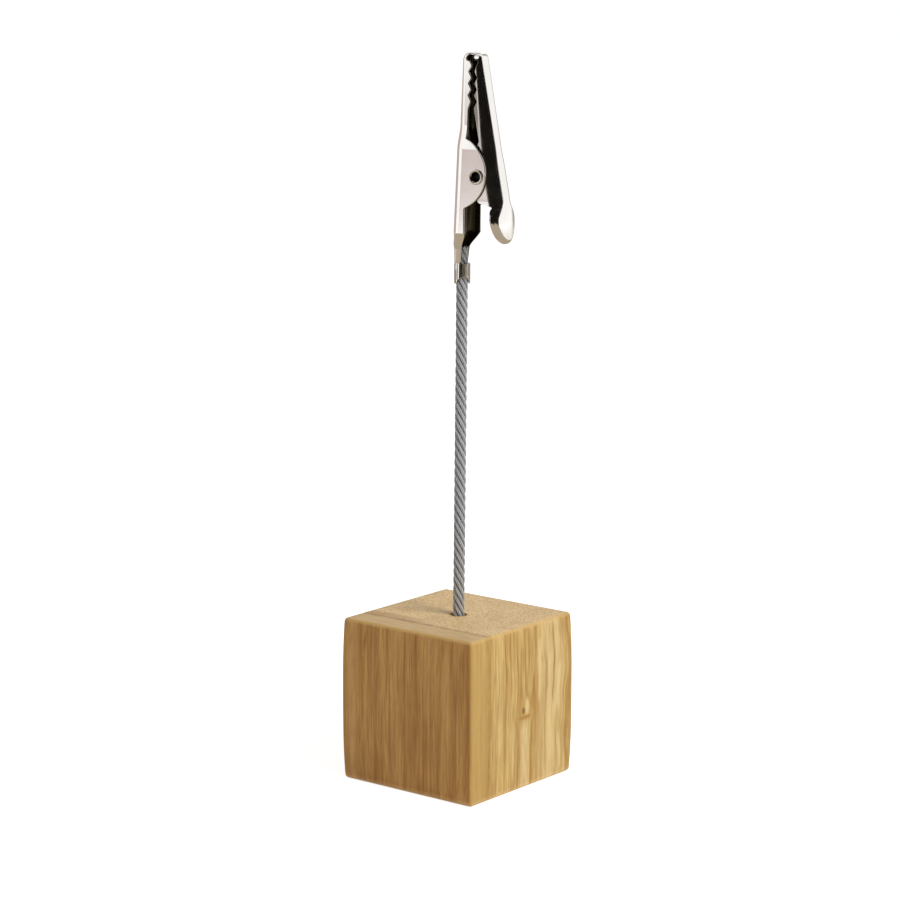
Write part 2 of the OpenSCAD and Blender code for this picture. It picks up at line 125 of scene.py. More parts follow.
class MemoClipSettings(bpy.types.PropertyGroup):
    """Sizes and colours of the alligator clip."""

    toward: FloatProperty(
        name="Direction", description="Direction the jaw opens in", default=radians(-80.4), subtype="ANGLE"
    )
    sheet_t: length("Sheet", "Thickness of the sheet steel", 0.35, 0.25, 0.5)
    barrel_len: length("Barrel", "Length of the barrel", 3.6, 2.5, 6)
    neck_len: length("Neck", "Length between barrel and tail", 5.4, 4, 8)
    tail_len: length("Tail", "Length from the neck to the pivot", 10.3, 9, 14)
    jaw_len: length("Jaws", "Length from the pivot to the tip", 21.5, 17, 30)
    ear_span: length("Span", "Width over the fixed jaw's ears", 6.4, 5.6, 9)
    pivot_out: length("Pivot", "Distance of the pivot from the cable's axis", 4.3, 3.8, 5)
    tooth_pitch: length("Tooth pitch", "Spacing of the teeth", 2.05, 1.6, 2.4)
    tooth_depth: length("Tooth depth", "Depth of the notches", 0.6, 0.3, 0.8)
    tooth_count: IntProperty(name="Teeth", description="Teeth on each edge", default=4, min=3, max=5)
    handle_w: length("Handle", "Width of the handle", 7.2, 6.6, 9)
    handle_reach: length("Handle reach", "Distance of its end below the pivot", 11.8, 10.5, 13)
    rivet_d: length("Rivet", "Diameter of the tubular rivet", 2.2, 1.8, 3.4)
    wire_d: length("Spring wire", "Diameter of the spring's wire", 0.5, 0.4, 0.6)
    nickel: colour("Nickel", "Colour of the plated sheet", (0.95, 0.92, 0.885))
    spring: colour("Spring steel", "Colour of the spring", (0.42, 0.42, 0.43))


class MemoStageSettings(bpy.types.PropertyGroup):
    """Camera, floor and light."""

    camera_at: FloatVectorProperty(
        name="Camera",
        description="Place of the camera",
        default=(-0.4133, -0.3284, 0.1607),
        size=3,
        subtype="TRANSLATION",
        unit="LENGTH",
    )
    azimuth: FloatProperty(
        name="Azimuth", description="Side the camera looks from", default=radians(-51.37), subtype="ANGLE"
    )
    elevation: FloatProperty(
        name="Elevation", description="Height of the view", default=radians(10.77), subtype="ANGLE"
    )
    roll: FloatProperty(name="Roll", description="Roll", default=radians(0.09), subtype="ANGLE")
    lens: FloatProperty(name="Lens", description="Focal length in millimetres", default=120, min=20)
    floor_size: length("Floor", "Side of the floor", 16000, 1000, 40000)
    floor: colour("Floor", "Colour of the floor", (0.86, 0.86, 0.86))
    room: FloatProperty(name="Room light", description="Strength of the even light", default=0.31, min=0)
    key: FloatProperty(name="Key light", description="Power of the key lamp in watts", default=7.4, min=0)


def settings():
    return bpy.context.scene.memo_holder


class MemoHolderSettings(bpy.types.PropertyGroup):
    """All settings of the memo holder."""

    block: PointerProperty(type=MemoBlockSettings)
    cable: PointerProperty(type=MemoCableSettings)
    clip: PointerProperty(type=MemoClipSettings)
    stage: PointerProperty(type=MemoStageSettings)


# Places


def on_stem():
    """The leaning stem's place, with Z along the cable from the top of the cube, in metres."""
    block, cable = settings().block, settings().cable
    return (
        Matrix.Translation((0, 0, block.side))
        @ Matrix.Rotation(cable.lean_toward, 4, "Z")
        @ Matrix.Translation((block.hole_offset, 0, 0))
        @ Matrix.Rotation(cable.lean, 4, "Y")
        @ Matrix.Rotation(-cable.lean_toward, 4, "Z")
    )


def on_clip():
    """The clip's own place: X from the fixed jaw to the moving jaw, Z up from the barrel's lower edge."""
    return (
        on_stem()
        @ Matrix.Translation((0, 0, settings().cable.stem))
        @ Matrix.Rotation(settings().clip.toward, 4, "Z")
    )


# Meshes


def new_object(name, data):
    """An object at the origin, in the scene, that shows the given data."""
    thing = bpy.data.objects.new(name, data)
    bpy.context.scene.collection.objects.link(thing)
    return thing


def new_piece(name, points, faces, place=Matrix.Identity(4)):
    """A mesh object at the origin, with its points in metres put into place."""
    mesh = bpy.data.meshes.new(name)
    mesh.from_pydata([place @ Vector(p) for p in points], [], faces)
    mesh.validate()
    return new_object(name, mesh)


def tidy_mesh(piece, merge=0.5e-6):
    """Merges doubled points and turns all faces outwards."""
    work = bmesh.new()
    work.from_mesh(piece.data)
    bmesh.ops.remove_doubles(work, verts=work.verts, dist=merge)
    bmesh.ops.dissolve_degenerate(work, edges=work.edges, dist=merge)
    bmesh.ops.recalc_face_normals(work, faces=work.faces)
    work.to_mesh(piece.data)
    work.free()


def final_mesh(thing):
    """A new mesh of an object's evaluated shape."""
    return bpy.data.meshes.new_from_object(thing.evaluated_get(bpy.context.evaluated_depsgraph_get()))


def bake_modifiers(piece):
    """Puts the modified shape into the piece's own mesh."""
    mesh = final_mesh(piece)
    piece.modifiers.clear()
    piece.data = mesh


def combine(piece, other, operation):
    """Joins another closed shape to the piece, or cuts it away, and deletes that shape."""
    step = piece.modifiers.new(operation.title(), "BOOLEAN")
    step.operation = operation
    step.solver = "EXACT"
    step.object = other
    bake_modifiers(piece)
    bpy.data.objects.remove(other)


def soften(piece, angle=40):
    """Smooth shading with creases where faces meet at more than the angle, in degrees."""
    piece.data.shade_smooth()
    piece.data.set_sharp_from_angle(angle=radians(angle))


def mark(piece, label, values):
    """Stores one value for each point of a piece, for its finish to read."""
    marks = piece.data.attributes.new(label, "FLOAT", "POINT")
    marks.data.foreach_set("value", [float(v) for v in values])


def paint(piece, material):
    """Gives the piece its one material."""
    piece.data.materials.clear()
    piece.data.materials.append(material)


def arc(across, up, radius, start, end, steps=8):
    """Points on an arc round the point (across, up), between two angles in radians."""
    turns = [start + (end - start) * i / steps for i in range(steps + 1)]
    return [(across + radius * cos(a), up + radius * sin(a)) for a in turns]


def lofted(rings, count, closed=False, whole=True):
    """Faces between rings of points: closed joins the last ring to the first, whole closes each ring."""
    faces = []
    for i in range(rings if closed else rings - 1):
        here, there = i * count, (i + 1) % rings * count
        for k in range(count if whole else count - 1):
            after = (k + 1) % count
            faces.append((here + k, here + after, there + after, there + k))
    return faces


def lathe(name, outline, place, steps=96):
    """A closed outline of (radius, height) points turned round Z."""
    turns = [2 * pi * i / steps for i in range(steps)]
    points = [(r * cos(a), r * sin(a), z) for a in turns for r, z in outline]
    piece = new_piece(name, points, lofted(steps, len(outline), closed=True), place)
    tidy_mesh(piece)
    return piece


def cylinder(radius, height, place, steps=96):
    """A plain closed cylinder for cutting, centred on the place's origin."""
    ring = [(radius * cos(2 * pi * i / steps), radius * sin(2 * pi * i / steps)) for i in range(steps)]
    points = [(x, y, z) for z in (-height / 2, height / 2) for x, y in ring]
    faces = lofted(2, steps) + [tuple(range(steps - 1, -1, -1)), tuple(range(steps, 2 * steps))]
    return new_piece("cutter", points, faces, place)


# Shapes that both jaws share


def ease(w, w0, w1, a, b):
    """Runs from a to b between two heights, with a soft start and end."""
    t = min(1, max(0, (w - w0) / (w1 - w0)))
    return a + (b - a) * t * t * (3 - 2 * t)


def ramp(w, w0, w1, a, b):
    """Runs straight from a to b between two heights and keeps its level outside them."""
    return a + (b - a) * min(1, max(0, (w - w0) / (w1 - w0)))


class Station:
    """One cross-section of a bent sheet, in millimetres in the clip's frame.

    out and up place the middle of its back, half is its half width and bend its bends' outer radius.
    reach is the straight part of its flanges and wall the sheet's thickness. tip turns it over at a
    lip, and turn swings its wall round a rounded end. Its shade share paints shade onto the outer
    sides of its flanges, darkening their colour, and crown lets its back fall away by the square of
    the distance from the middle.

    BEND_END is what stays of a bend that no flange follows. SUPPORT is how far from its bend and from
    its edge a flange gets points that keep its shading flat. On a short flange, the edge's rounding
    and that distance are held to a share of its length.
    """

    BACK_STEPS = 6
    BEND_STEPS = 14
    BEND_END = 0.05
    LEAST_BEND_R = 0.01
    EDGE_R = 0.09
    EDGE_STEPS = 3
    EDGE_SHARE = 0.45
    EDGE_SLACK = 0.03
    SUPPORT = 0.12
    SUPPORT_SHARE = 0.3

    def __init__(self, out, up, half, bend, reach, wall, tip=0.0, turn=0.0, dull=0.0, crown=0.0):
        self.out, self.up, self.half, self.bend = out, up, half, bend
        self.reach, self.wall, self.tip, self.turn = reach, wall, radians(tip), radians(turn)
        # The shade share is painted shade on the outer flanges, mixed into their colour by the finish.
        self.dull, self.crown = dull, crown

    def profile(self):
        """(depth, offset, share) from the outer middle over the free edge to the inner middle.

        offset counts from the half width, and share draws a point in towards the middle.
        """
        bend, reach, wall = self.bend, self.reach, self.wall
        cut = max(0, self.BEND_END - reach)
        inner_r = max(bend - wall, self.LEAST_BEND_R)
        sides = []
        for radius in (bend, inner_r):
            full = acos(min(1, cut / radius))
            arc = [full * i / self.BEND_STEPS for i in range(self.BEND_STEPS + 1)]
            sides.append([(bend - radius * cos(a), radius * sin(a) - bend) for a in arc])
        outer, inner = sides
        near, far = outer[-1][1], inner[-1][1]
        r = min(self.EDGE_R, self.EDGE_SHARE * max(reach + self.EDGE_SLACK, self.BEND_END))
        end = bend + reach
        round_off = [pi / 2 * i / self.EDGE_STEPS for i in range(self.EDGE_STEPS + 1)]
        edge = [(end - r + r * sin(a), near - r + r * cos(a)) for a in round_off]
        edge += [(end - r + r * cos(a), far + r - r * sin(a)) for a in round_off]
        start, stop = outer[-1][0], end - r
        support = min(self.SUPPORT, self.SUPPORT_SHARE * max(0, stop - start))
        flat = [start + support, stop - support]
        outer_flat = [(d, near) for d in flat]
        inner_flat = [(d, far) for d in reversed(flat)]
        line = [(d, o, 1.0) for d, o in outer + outer_flat + edge + inner_flat + inner[::-1]]
        shares = [k / self.BACK_STEPS for k in range(self.BACK_STEPS)]
        return [(0.0, -bend, k) for k in shares] + line + [(wall, -bend, k) for k in reversed(shares)]

    def place(self, depth, offset, share, side):
        along = -offset * sin(self.turn)
        across = share * (self.half + offset * cos(self.turn))
        depth += self.crown * across * across
        return (
            self.out + depth * cos(self.tip) + along * sin(self.tip),
            side * across,
            self.up - depth * sin(self.tip) + along * cos(self.tip),
        )

    def ring(self):
        line = self.profile()
        far = [self.place(*spot, 1) for spot in line]
        near = [self.place(*spot, -1) for spot in reversed(line)]
        return far + near


def bent_sheet(name, stations, closed_start, faces_back=False):
    """A closed sheet lofted through its stations. faces_back turns its hollow the other way."""
    turned = -1 if faces_back else 1
    rings = [s.ring() for s in stations]
    count = len(rings[0])
    half = count // 2
    arc = Station.BACK_STEPS + Station.BEND_STEPS + 1
    points = [(turned * x * MM, y * MM, z * MM) for ring in rings for x, y, z in ring]
    faces = lofted(len(rings), count)

    def wall_cap(base):
        """The sheet's cut end: strips across its thickness, and its two rounded edges."""
        cap = [(base, base + count - 1, base + half, base + half - 1)]
        for start in (0, half):
            for i in range(arc - 1):
                a, b = start + i, start + half - 1 - i
                cap.append((base + a, base + a + 1, base + b - 1, base + b))
            cap.append(tuple(base + start + i for i in range(arc - 1, half - arc + 1)))
        return cap

    def end_wall():
        """Closes a rounded end from one half to the other, outside, inside and along the rim."""
        return [(i, i + 1, count - 2 - i, count - 1 - i) for i in range(half - 1)]

    faces += wall_cap((len(rings) - 1) * count)
    faces += end_wall() if closed_start else wall_cap(0)
    piece = new_piece(name, points, faces, on_clip())
    edge_end = arc + 2 + Station.EDGE_STEPS + 1
    # Painted shade for the finish: full on the inner side, the station's shade share on the outer flange
    # and its edge, none on the back and the bends.
    shades = []
    for station in stations:
        for i in range(count):
            k = min(i, count - 1 - i)
            shades.append(1.0 if k >= edge_end else station.dull if k >= arc else 0.0)
    mark(piece, "inside", shades)
    tidy_mesh(piece)
    return piece


def rounded_line(corners, radius, steps=4, most=0.45):
    """A line of (w, out) corners with each inner corner rounded by a short curve.

    A rounding takes no more than the share most of the line on each side of its corner.
    """
    line = [corners[0]]
    for before, corner, after in zip(corners, corners[1:], corners[2:]):
        b, c, a = Vector(before), Vector(corner), Vector(after)
        into, away = (c - b).length, (a - c).length
        start = c + (b - c) * min(radius / into, most)
        end = c + (a - c) * min(radius / away, most)
        for i in range(steps + 1):
            t = i / steps
            line.append(tuple(start * (1 - t) ** 2 + c * 2 * t * (1 - t) + end * t * t))
    line.append(corners[-1])
    return line


def spaced_line(line, step):
    """The same line with points added so that none are further apart than the step along w."""
    dense = [line[0]]
    for (w0, o0), (w1, o1) in zip(line, line[1:]):
        parts = max(1, ceil((w1 - w0) / step))
        dense += [(w0 + (w1 - w0) * i / parts, o0 + (o1 - o0) * i / parts) for i in range(1, parts + 1)]
    return dense


class ClipShape:
    """Heights and outlines of the clip, in millimetres, worked out from its settings."""

    grip_gap = 0.03
    ear_gap = 0.15
    seat_gap = 0.02
    pivot_gap = 0.05
    spring_gap = 0.15
    lip_gap = 0.12
    lip_sink = 0.02
    lip_turn = 98
    lip_half = 1.3
    lip_edge_gap = 0.02
    lip_flange_share = 0.35
    lip_steps = 14
    nose_tip_half = 1.8
    nose_bend_start = 4.6
    nose_tip_bend = 0.8
    nose_slope = 0.040
    mouth_out = 2.7
    tooth_top_drop = 2.35
    neck_start = 0.3
    line_step = 0.3
    corner_r = 0.14

    def __init__(self):
        clip, cable = settings().clip, settings().cable
        self.wall = clip.sheet_t / MM
        self.cable_r = cable.diameter / MM / 2
        self.barrel_len = clip.barrel_len / MM
        self.cable_top = self.barrel_len + cable.end / MM + self.grip_gap
        self.neck_low = self.barrel_len + self.neck_start
        self.neck_top = self.barrel_len + clip.neck_len / MM
        self.pivot_up = self.neck_top + clip.tail_len / MM
        self.tip_up = self.pivot_up + clip.jaw_len / MM
        self.pivot_out = clip.pivot_out / MM
        self.barrel_r = self.cable_r + self.grip_gap + self.wall
        self.half = clip.ear_span / MM / 2
        self.pitch = clip.tooth_pitch / MM
        self.notch = clip.tooth_depth / MM
        self.teeth = clip.tooth_count
        self.tooth_top = self.tip_up - self.tooth_top_drop
        self.rivet_r = clip.rivet_d / MM / 2

    def lip(self, start, end, r):
        """Stations of a nose's lip: the back bends over and runs to the mouth."""
        turn = radians(self.lip_turn)
        top_out = start.out + r * (1 - cos(turn))
        run = (end - top_out) / sin(turn)
        edge_r = self.wall + self.lip_edge_gap
        lip = []
        for i in range(self.lip_steps + 1):
            a = turn * i / self.lip_steps
            lip.append(Station(
                start.out + r * (1 - cos(a)),
                start.up + r * sin(a),
                ramp(i, 0, self.lip_steps, start.half, self.lip_half),
                ramp(i, 0, self.lip_steps, start.bend, edge_r),
                ramp(i, 0, self.lip_flange_share * self.lip_steps, start.reach, 0),
                self.wall,
                tip=degrees(a),
                crown=start.crown * (1 - i / self.lip_steps),
            ))
        lip.append(Station(
            end,
            start.up + r * sin(turn) + run * cos(turn),
            self.lip_half,
            edge_r,
            0,
            self.wall,
            tip=self.lip_turn,
        ))
        return lip


class FixedJawShape(ClipShape):
    """The jaw that is bent from one sheet with the tail, the neck and the barrel."""

    bend_r = 2
    root_half = 2.2
    nose_tip_half = 1.6
    taper_start = 4.5
    taper_end = 9
    back_at_tail = 0.9
    lip_r = 1.5
    ear_r = 6.45
    ear_center_rise = 0.5
    ear_center_back = 4.6
    ear_steps = 60
    tail_edge_rise = 1.05
    neck_flare = 0.2
    neck_low_reach = 0.4
    neck_steps = 18
    root_inset = 0.05
    root_thinning = 0.1
    root_overlap = 0.8
    root_reach = 0.15
    teeth_back = 0.25
    tooth_run = 1.35
    nose_edge_rise = 0.15
    lip_notch = 0.5
    seam_turn = -50
    seam_w = 0.16
    arch_share = 0.85
    barrel_edge = 0.07

    def back(self, w):
        along = min(self.tip_up - self.neck_top, max(0, w - self.neck_top))
        return self.nose_slope * along - self.back_at_tail

    def half_at(self, w):
        taper = self.pivot_up + self.taper_end
        if w < taper:
            return ease(w, self.pivot_up + self.taper_start, taper, self.half, self.root_half)
        return ramp(w, taper, self.tip_up, self.root_half, self.nose_tip_half)

    def station(self, w, edge):
        bend = ramp(w, self.pivot_up + self.nose_bend_start, self.tip_up, self.bend_r, self.nose_tip_bend)
        back = self.back(w)
        return Station(back, w, self.half_at(w), bend, edge - back - bend, self.wall)

    def neck(self, w, tail_edge):
        low, top = self.neck_low, self.neck_top
        flare = ramp(w, low, self.cable_top, 0, self.neck_flare)
        flare += ramp(w, self.cable_top, top, 0, self.half - self.barrel_r - self.neck_flare)
        return Station(
            ease(w, self.cable_top, top, -self.barrel_r, -self.back_at_tail),
            w,
            self.barrel_r + flare,
            ramp(w, self.cable_top, top, self.barrel_r, self.bend_r),
            ramp(w, low, top, self.neck_low_reach, tail_edge + self.back_at_tail - self.bend_r),
            self.wall,
        )

    def stations(self):
        teeth_out = self.mouth_out - self.teeth_back
        nose_edge = teeth_out - self.notch + self.nose_edge_rise
        tail_edge = self.back_at_tail + self.tail_edge_rise
        tooth_low = self.tooth_top - (self.teeth - 1) * self.pitch
        center_out = self.pivot_out - self.ear_center_back
        center_up = self.pivot_up + self.ear_center_rise
        ear_low = -acos((tail_edge - center_out) / self.ear_r)
        ear_high = acos((nose_edge - center_out) / self.ear_r)
        root_r = self.barrel_r - self.root_inset
        root_wall = self.wall - self.root_thinning
        low = [
            Station(-root_r, w, root_r, root_r, self.root_reach, root_wall)
            for w in (self.barrel_len - self.root_overlap, self.barrel_len + self.root_inset)
        ]
        for i in range(self.neck_steps + 1):
            low.append(self.neck(ramp(i, 0, self.neck_steps, self.neck_low, self.neck_top), tail_edge))
        round_ear = arc(center_out, center_up, self.ear_r, ear_low, ear_high, self.ear_steps)
        ear = [(up, out) for out, up in round_ear]
        corners = [(tooth_low - self.tooth_run, nose_edge)]
        for i in range(2 * self.teeth - 1):
            corners.append((tooth_low + i * self.pitch / 2, teeth_out - i % 2 * self.notch))
        lip_up = self.tip_up - self.lip_r - self.lip_sink
        corners.append((lip_up, teeth_out - self.lip_notch))
        ear_line = spaced_line([(self.neck_top, tail_edge)] + ear[:1], self.line_step) + ear[1:]
        nose_line = rounded_line([ear[-1]] + corners, self.corner_r)
        line = ear_line + spaced_line(nose_line, self.line_step)[1:]
        rising = [self.station(w, out) for w, out in line[1:-1]]
        lip = self.lip(self.station(*line[-1]), self.mouth_out - self.lip_gap / 2, self.lip_r)
        return low + rising + lip

    def barrel(self):
        """The sheet wrapped round the cable, with a seam between its wings and an arched lower edge."""
        steps, rows, edge = 72, 12, self.barrel_edge
        inner, outer, top = self.barrel_r - self.wall, self.barrel_r, self.barrel_len
        seam, seam_half = radians(self.seam_turn), self.seam_w / 2 / outer
        arch = self.arch_share * outer
        points = []
        for i in range(steps + 1):
            a = seam_half + (2 * pi - 2 * seam_half) * i / steps
            near = min(a, 2 * pi - a)
            side = outer * sin(near) if near < pi / 2 else outer
            low = min(sqrt(max(0, arch * arch - side * side)), arch - self.root_inset)
            heights = [low + (top - low) * k / rows for k in range(1, rows)]
            wall = [(outer - edge, low), (outer, low + edge), *((outer, h) for h in heights)]
            wall += [(outer, top - edge), (outer - edge, top), (inner + edge, top), (inner, top - edge)]
            wall += [*((inner, h) for h in reversed(heights)), (inner, low + edge), (inner + edge, low)]
            t = a + seam
            points += [(r * cos(t) * MM, r * sin(t) * MM, h * MM) for r, h in wall]
        count = len(wall)
        caps = [tuple(range(count)), tuple(steps * count + k for k in reversed(range(count)))]
        piece = new_piece("barrel", points, lofted(steps + 1, count) + caps, on_clip())
        # Painted shade on the barrel's inner wall, through the inside mark.
        mark(piece, "inside", [count // 2 <= k for k in range(count)] * (steps + 1))
        tidy_mesh(piece)
        return piece


class MovingJawShape(ClipShape):
    """The jaw that is bent from one sheet with the inner ears and the handle."""

    bend_r = 2.3
    tip_bend = 1.0
    # Painted shade and dark reflection on the outer flanges: a share towards the nose, and full shade on
    # the handle's band well below the pivot.
    nose_dull = 0.75
    nose_dull_from, nose_dull_to = 4, 10
    handle_dull_from, handle_dull_to = 5.8, 6.4
    root_half = 2.35
    taper_start = 0.5
    taper_end = 6
    tip_drop = 0.3
    lip_back = 1.45
    lip_r = 0.8
    back_past_pivot = 3.95
    teeth_back = 0.35
    lip_run = 0.5
    inner_ear_r = 3
    inner_ear_angle = 52
    inner_ear_steps = 26
    inner_ear_top = 6.1
    throat_pitches = 1.1
    throat_rise = 0.05
    bow_drop = 2.8
    flat_drop = 9.3
    flare_drop = 4.1
    handle_spread = 0.2
    crown = 0.065
    rim_bend_r = 1.0
    end_bend_r = 0.8
    round_stretch = 1.15
    rim_depth = 2.1
    rim_end_depth = 0.85
    round_end = 84
    round_steps = 26
    skirt = ((2.8, -5.7), (3, -5.25), (0.3, -4.6))

    def __init__(self):
        super().__init__()
        clip = settings().clip
        self.inner_half = self.half - self.wall - self.ear_gap
        self.round = clip.handle_w / MM / 2 + self.handle_spread
        self.round_long = self.round * self.round_stretch
        self.round_up = self.pivot_up - clip.handle_reach / MM + self.round_long
        self.end_up = self.tip_up - self.tip_drop
        reach = self.pivot_out + self.back_past_pivot - self.mouth_out - self.lip_back
        self.slope = reach / (self.end_up - self.pivot_up)

    def back(self, w):
        bow, flat = self.pivot_up - self.bow_drop, self.pivot_up - self.flat_drop
        straight = self.pivot_out + self.back_past_pivot + self.slope * (self.pivot_up - max(w, bow))
        fall = bow - min(bow, max(w, flat))
        return straight + self.slope * fall * (1 - fall / (2 * (bow - flat)))

    def half_at(self, w):
        taper = self.pivot_up + self.taper_end
        if w < self.pivot_up:
            return ease(w, self.round_up, self.pivot_up - self.flare_drop, self.round, self.inner_half)
        if w < taper:
            return ease(w, self.pivot_up + self.taper_start, taper, self.inner_half, self.root_half)
        return ramp(w, taper, self.end_up, self.root_half, self.nose_tip_half)

    def bend_at(self, w):
        if w < self.pivot_up:
            return ease(w, self.round_up, self.pivot_up - self.flare_drop, self.rim_bend_r, self.bend_r)
        return ramp(w, self.pivot_up + self.nose_bend_start, self.end_up, self.bend_r, self.tip_bend)

    def station(self, w, edge):
        back, bend, half = self.back(w), self.bend_at(w), self.half_at(w)
        # Painted shade: it grows towards the nose and is full on the handle's band below the pivot.
        dull = ramp(w - self.pivot_up, self.nose_dull_from, self.nose_dull_to, 0, self.nose_dull)
        dull += ramp(self.pivot_up - w, self.handle_dull_from, self.handle_dull_to, 0, 1)
        reach = back - edge - bend - self.crown * half * half
        return Station(-back, w, half, bend, reach, self.wall, dull=dull, crown=self.crown)

    def handle_end(self):
        """Stations of the handle's rounded end, where the rim swings round and its depth falls."""
        end = []
        for i in range(self.round_steps, 0, -1):
            a = radians(self.round_end * i / self.round_steps)
            w = self.round_up - self.round_long * sin(a)
            depth = ramp(i, 0, self.round_steps, self.rim_depth, self.rim_end_depth)
            turn = degrees(atan(tan(a) / self.round_stretch))
            bend = ramp(i, 0, self.round_steps, self.rim_bend_r, self.end_bend_r)
            half = self.round * cos(a)
            reach = depth - bend - self.crown * half * half
            end.append(Station(-self.back(w), w, half, bend, reach, self.wall, turn=turn, crown=self.crown))
        return end

    def stations(self):
        teeth_out = self.mouth_out + self.teeth_back
        notch_out = teeth_out + self.notch
        lip_up = self.end_up - self.lip_r - self.lip_sink
        gaps = self.teeth - 1
        top_tooth = self.tooth_top - self.pitch / 2
        low_tooth = top_tooth - (gaps - 1) * self.pitch
        corners = [(self.round_up, self.back(self.round_up) - self.rim_depth)]
        corners += [(self.pivot_up + up, self.pivot_out + out) for out, up in self.skirt]
        turn = radians(self.inner_ear_angle)
        middle = (self.pivot_out, self.pivot_up, self.inner_ear_r)
        ear = [(up, out) for out, up in arc(*middle, pi + turn, pi - turn, self.inner_ear_steps)]
        low_line = rounded_line(corners + ear[:1], self.corner_r)
        upper = [
            (self.pivot_up + self.inner_ear_top, self.pivot_out),
            (low_tooth - self.throat_pitches * self.pitch, teeth_out + self.throat_rise),
            (low_tooth - self.pitch / 2, notch_out),
        ]
        for i in range(2 * gaps - 1):
            upper.append((low_tooth + i * self.pitch / 2, notch_out if i % 2 else teeth_out))
        upper += [(lip_up - self.lip_run, notch_out), (lip_up, teeth_out)]
        high_line = rounded_line([ear[-1]] + upper, self.corner_r)
        line = spaced_line(low_line, self.line_step) + ear[1:] + spaced_line(high_line, self.line_step)[1:]
        rising = [self.station(w, out) for w, out in line[:-1]]
        lip = self.lip(self.station(*line[-1]), -(self.mouth_out + self.lip_gap / 2), self.lip_r)
        return self.handle_end() + rising + lip


def at_pivot():
    """The clip's own place, moved to the middle of the pivot, in metres."""
    shape = ClipShape()
    return on_clip() @ Matrix.Translation((shape.pivot_out * MM, 0, shape.pivot_up * MM))


def along_pivot():
    """The pivot's place, with Z along its axis, in metres."""
    return at_pivot() @ Matrix.Rotation(radians(90), 4, "X")


# Node helpers


class Nodes:
    """Short calls for making nodes and links in one tree."""

    def __init__(self, tree):
        self.tree = tree

    def add(self, kind, inputs=None, **options):
        node = self.tree.nodes.new(kind)
        for key, value in options.items():
            setattr(node, key, value)
        for key, value in (inputs or {}).items():
            self.put(value, node.inputs[key])
        return node

    def put(self, value, socket):
        """Sets a socket, or links it where the value is another node's socket."""
        if isinstance(value, bpy.types.NodeSocket):
            self.tree.links.new(value, socket)
        elif isinstance(value, bpy.types.Node):
            self.tree.links.new(value.outputs[0], socket)
        else:
            socket.default_value = value

    def math(self, operation, *values):
        return self.add("ShaderNodeMath", dict(enumerate(values)), operation=operation).outputs[0]

    def chain(self, operation, first, *others):
        """One math node after another over all the values."""
        for value in others:
            first = self.math(operation, first, value)
        return first

    def times(self, *values):
        return self.chain("MULTIPLY", *values)

    def plus(self, *values):
        return self.chain("ADD", *values)

    def minus(self, a, b):
        return self.math("SUBTRACT", a, b)

    def over(self, a, b):
        return self.math("DIVIDE", a, b)

    def squares(self, a, b):
        """The sum of two values' squares."""
        return self.plus(self.times(a, a), self.times(b, b))

    def vector_math(self, operation, *values):
        node = self.add("ShaderNodeVectorMath", dict(enumerate(values)), operation=operation)
        return node.outputs["Value" if operation == "LENGTH" else "Vector"]

    def vector(self, *values):
        return self.add("ShaderNodeCombineXYZ", dict(enumerate(values)))

    def attribute(self, name):
        return self.add("ShaderNodeAttribute", attribute_name=name).outputs["Fac"]

    def bump(self, shader, height, strength, distance):
        """Lets a height that varies over the surface tilt the shader's normal."""
        values = {"Height": height, "Strength": strength, "Distance": distance}
        self.put(self.add("ShaderNodeBump", values), shader.inputs["Normal"])

    def seen_rays(self):
        """One for rays from the camera and for those that metal and glass send on, else zero."""
        path = self.add("ShaderNodeLightPath").outputs
        kinds = ("Camera", "Glossy", "Transmission")
        return self.chain("MAXIMUM", *(path[f"Is {kind} Ray"] for kind in kinds))

    def mix(self, share, a, b, blend="MIX"):
        node = self.add("ShaderNodeMix", data_type="RGBA", blend_type=blend)
        self.put(share, node.inputs[0])
        for value, socket in ((a, node.inputs[6]), (b, node.inputs[7])):
            if isinstance(value, (tuple, list)) and len(value) == 3:
                value = (*value, 1)
            self.put(value, socket)
        return node.outputs[2]

    def band(self, value, low, high, start=0.0, end=1.0):
        """A value mapped from one range to another and kept inside it."""
        node = self.add("ShaderNodeMapRange", {0: value, 1: low, 2: high, 3: start, 4: end})
        return node.outputs[0]


def group_tree(name, inputs, outputs):
    """A new shader node group and the helper, input and output nodes in it."""
    tree = bpy.data.node_groups.new(name, "ShaderNodeTree")
    for label, kind, default in inputs:
        socket = tree.interface.new_socket(label, in_out="INPUT", socket_type=kind)
        socket.default_value = default
    for label, kind in outputs:
        tree.interface.new_socket(label, in_out="OUTPUT", socket_type=kind)
    nodes = Nodes(tree)
    return nodes, nodes.add("NodeGroupInput"), nodes.add("NodeGroupOutput")


def fine_wear_group():
    """Small scratches and smudges that metal and glue share, as a value from 0 to 1 and a height."""
    name = "Fine wear"
    if name in bpy.data.node_groups:
        return bpy.data.node_groups[name]
    nodes, given, result = group_tree(
        name,
        [
            ("Vector", "NodeSocketVector", (0, 0, 0)),
            ("Smudge size", "NodeSocketFloat", 400.0),
            ("Scratch size", "NodeSocketFloat", 3000.0),
        ],
        [("Smudge", "NodeSocketFloat"), ("Height", "NodeSocketFloat")],
    )
    place, smudge_size, scratch_size = given.outputs[:3]
    smudge = nodes.add("ShaderNodeTexNoise", {"Vector": place, "Scale": smudge_size, "Detail": 4.0})
    stretch = nodes.add("ShaderNodeMapping", {"Vector": place, "Scale": (1, 1, 0.12)})
    scratch = nodes.add("ShaderNodeTexNoise", {"Vector": stretch, "Scale": scratch_size, "Detail": 2.0})
    nodes.put(nodes.band(smudge.outputs[0], 0.35, 0.7), result.inputs[0])
    nodes.put(scratch.outputs[0], result.inputs[1])
    return nodes.tree


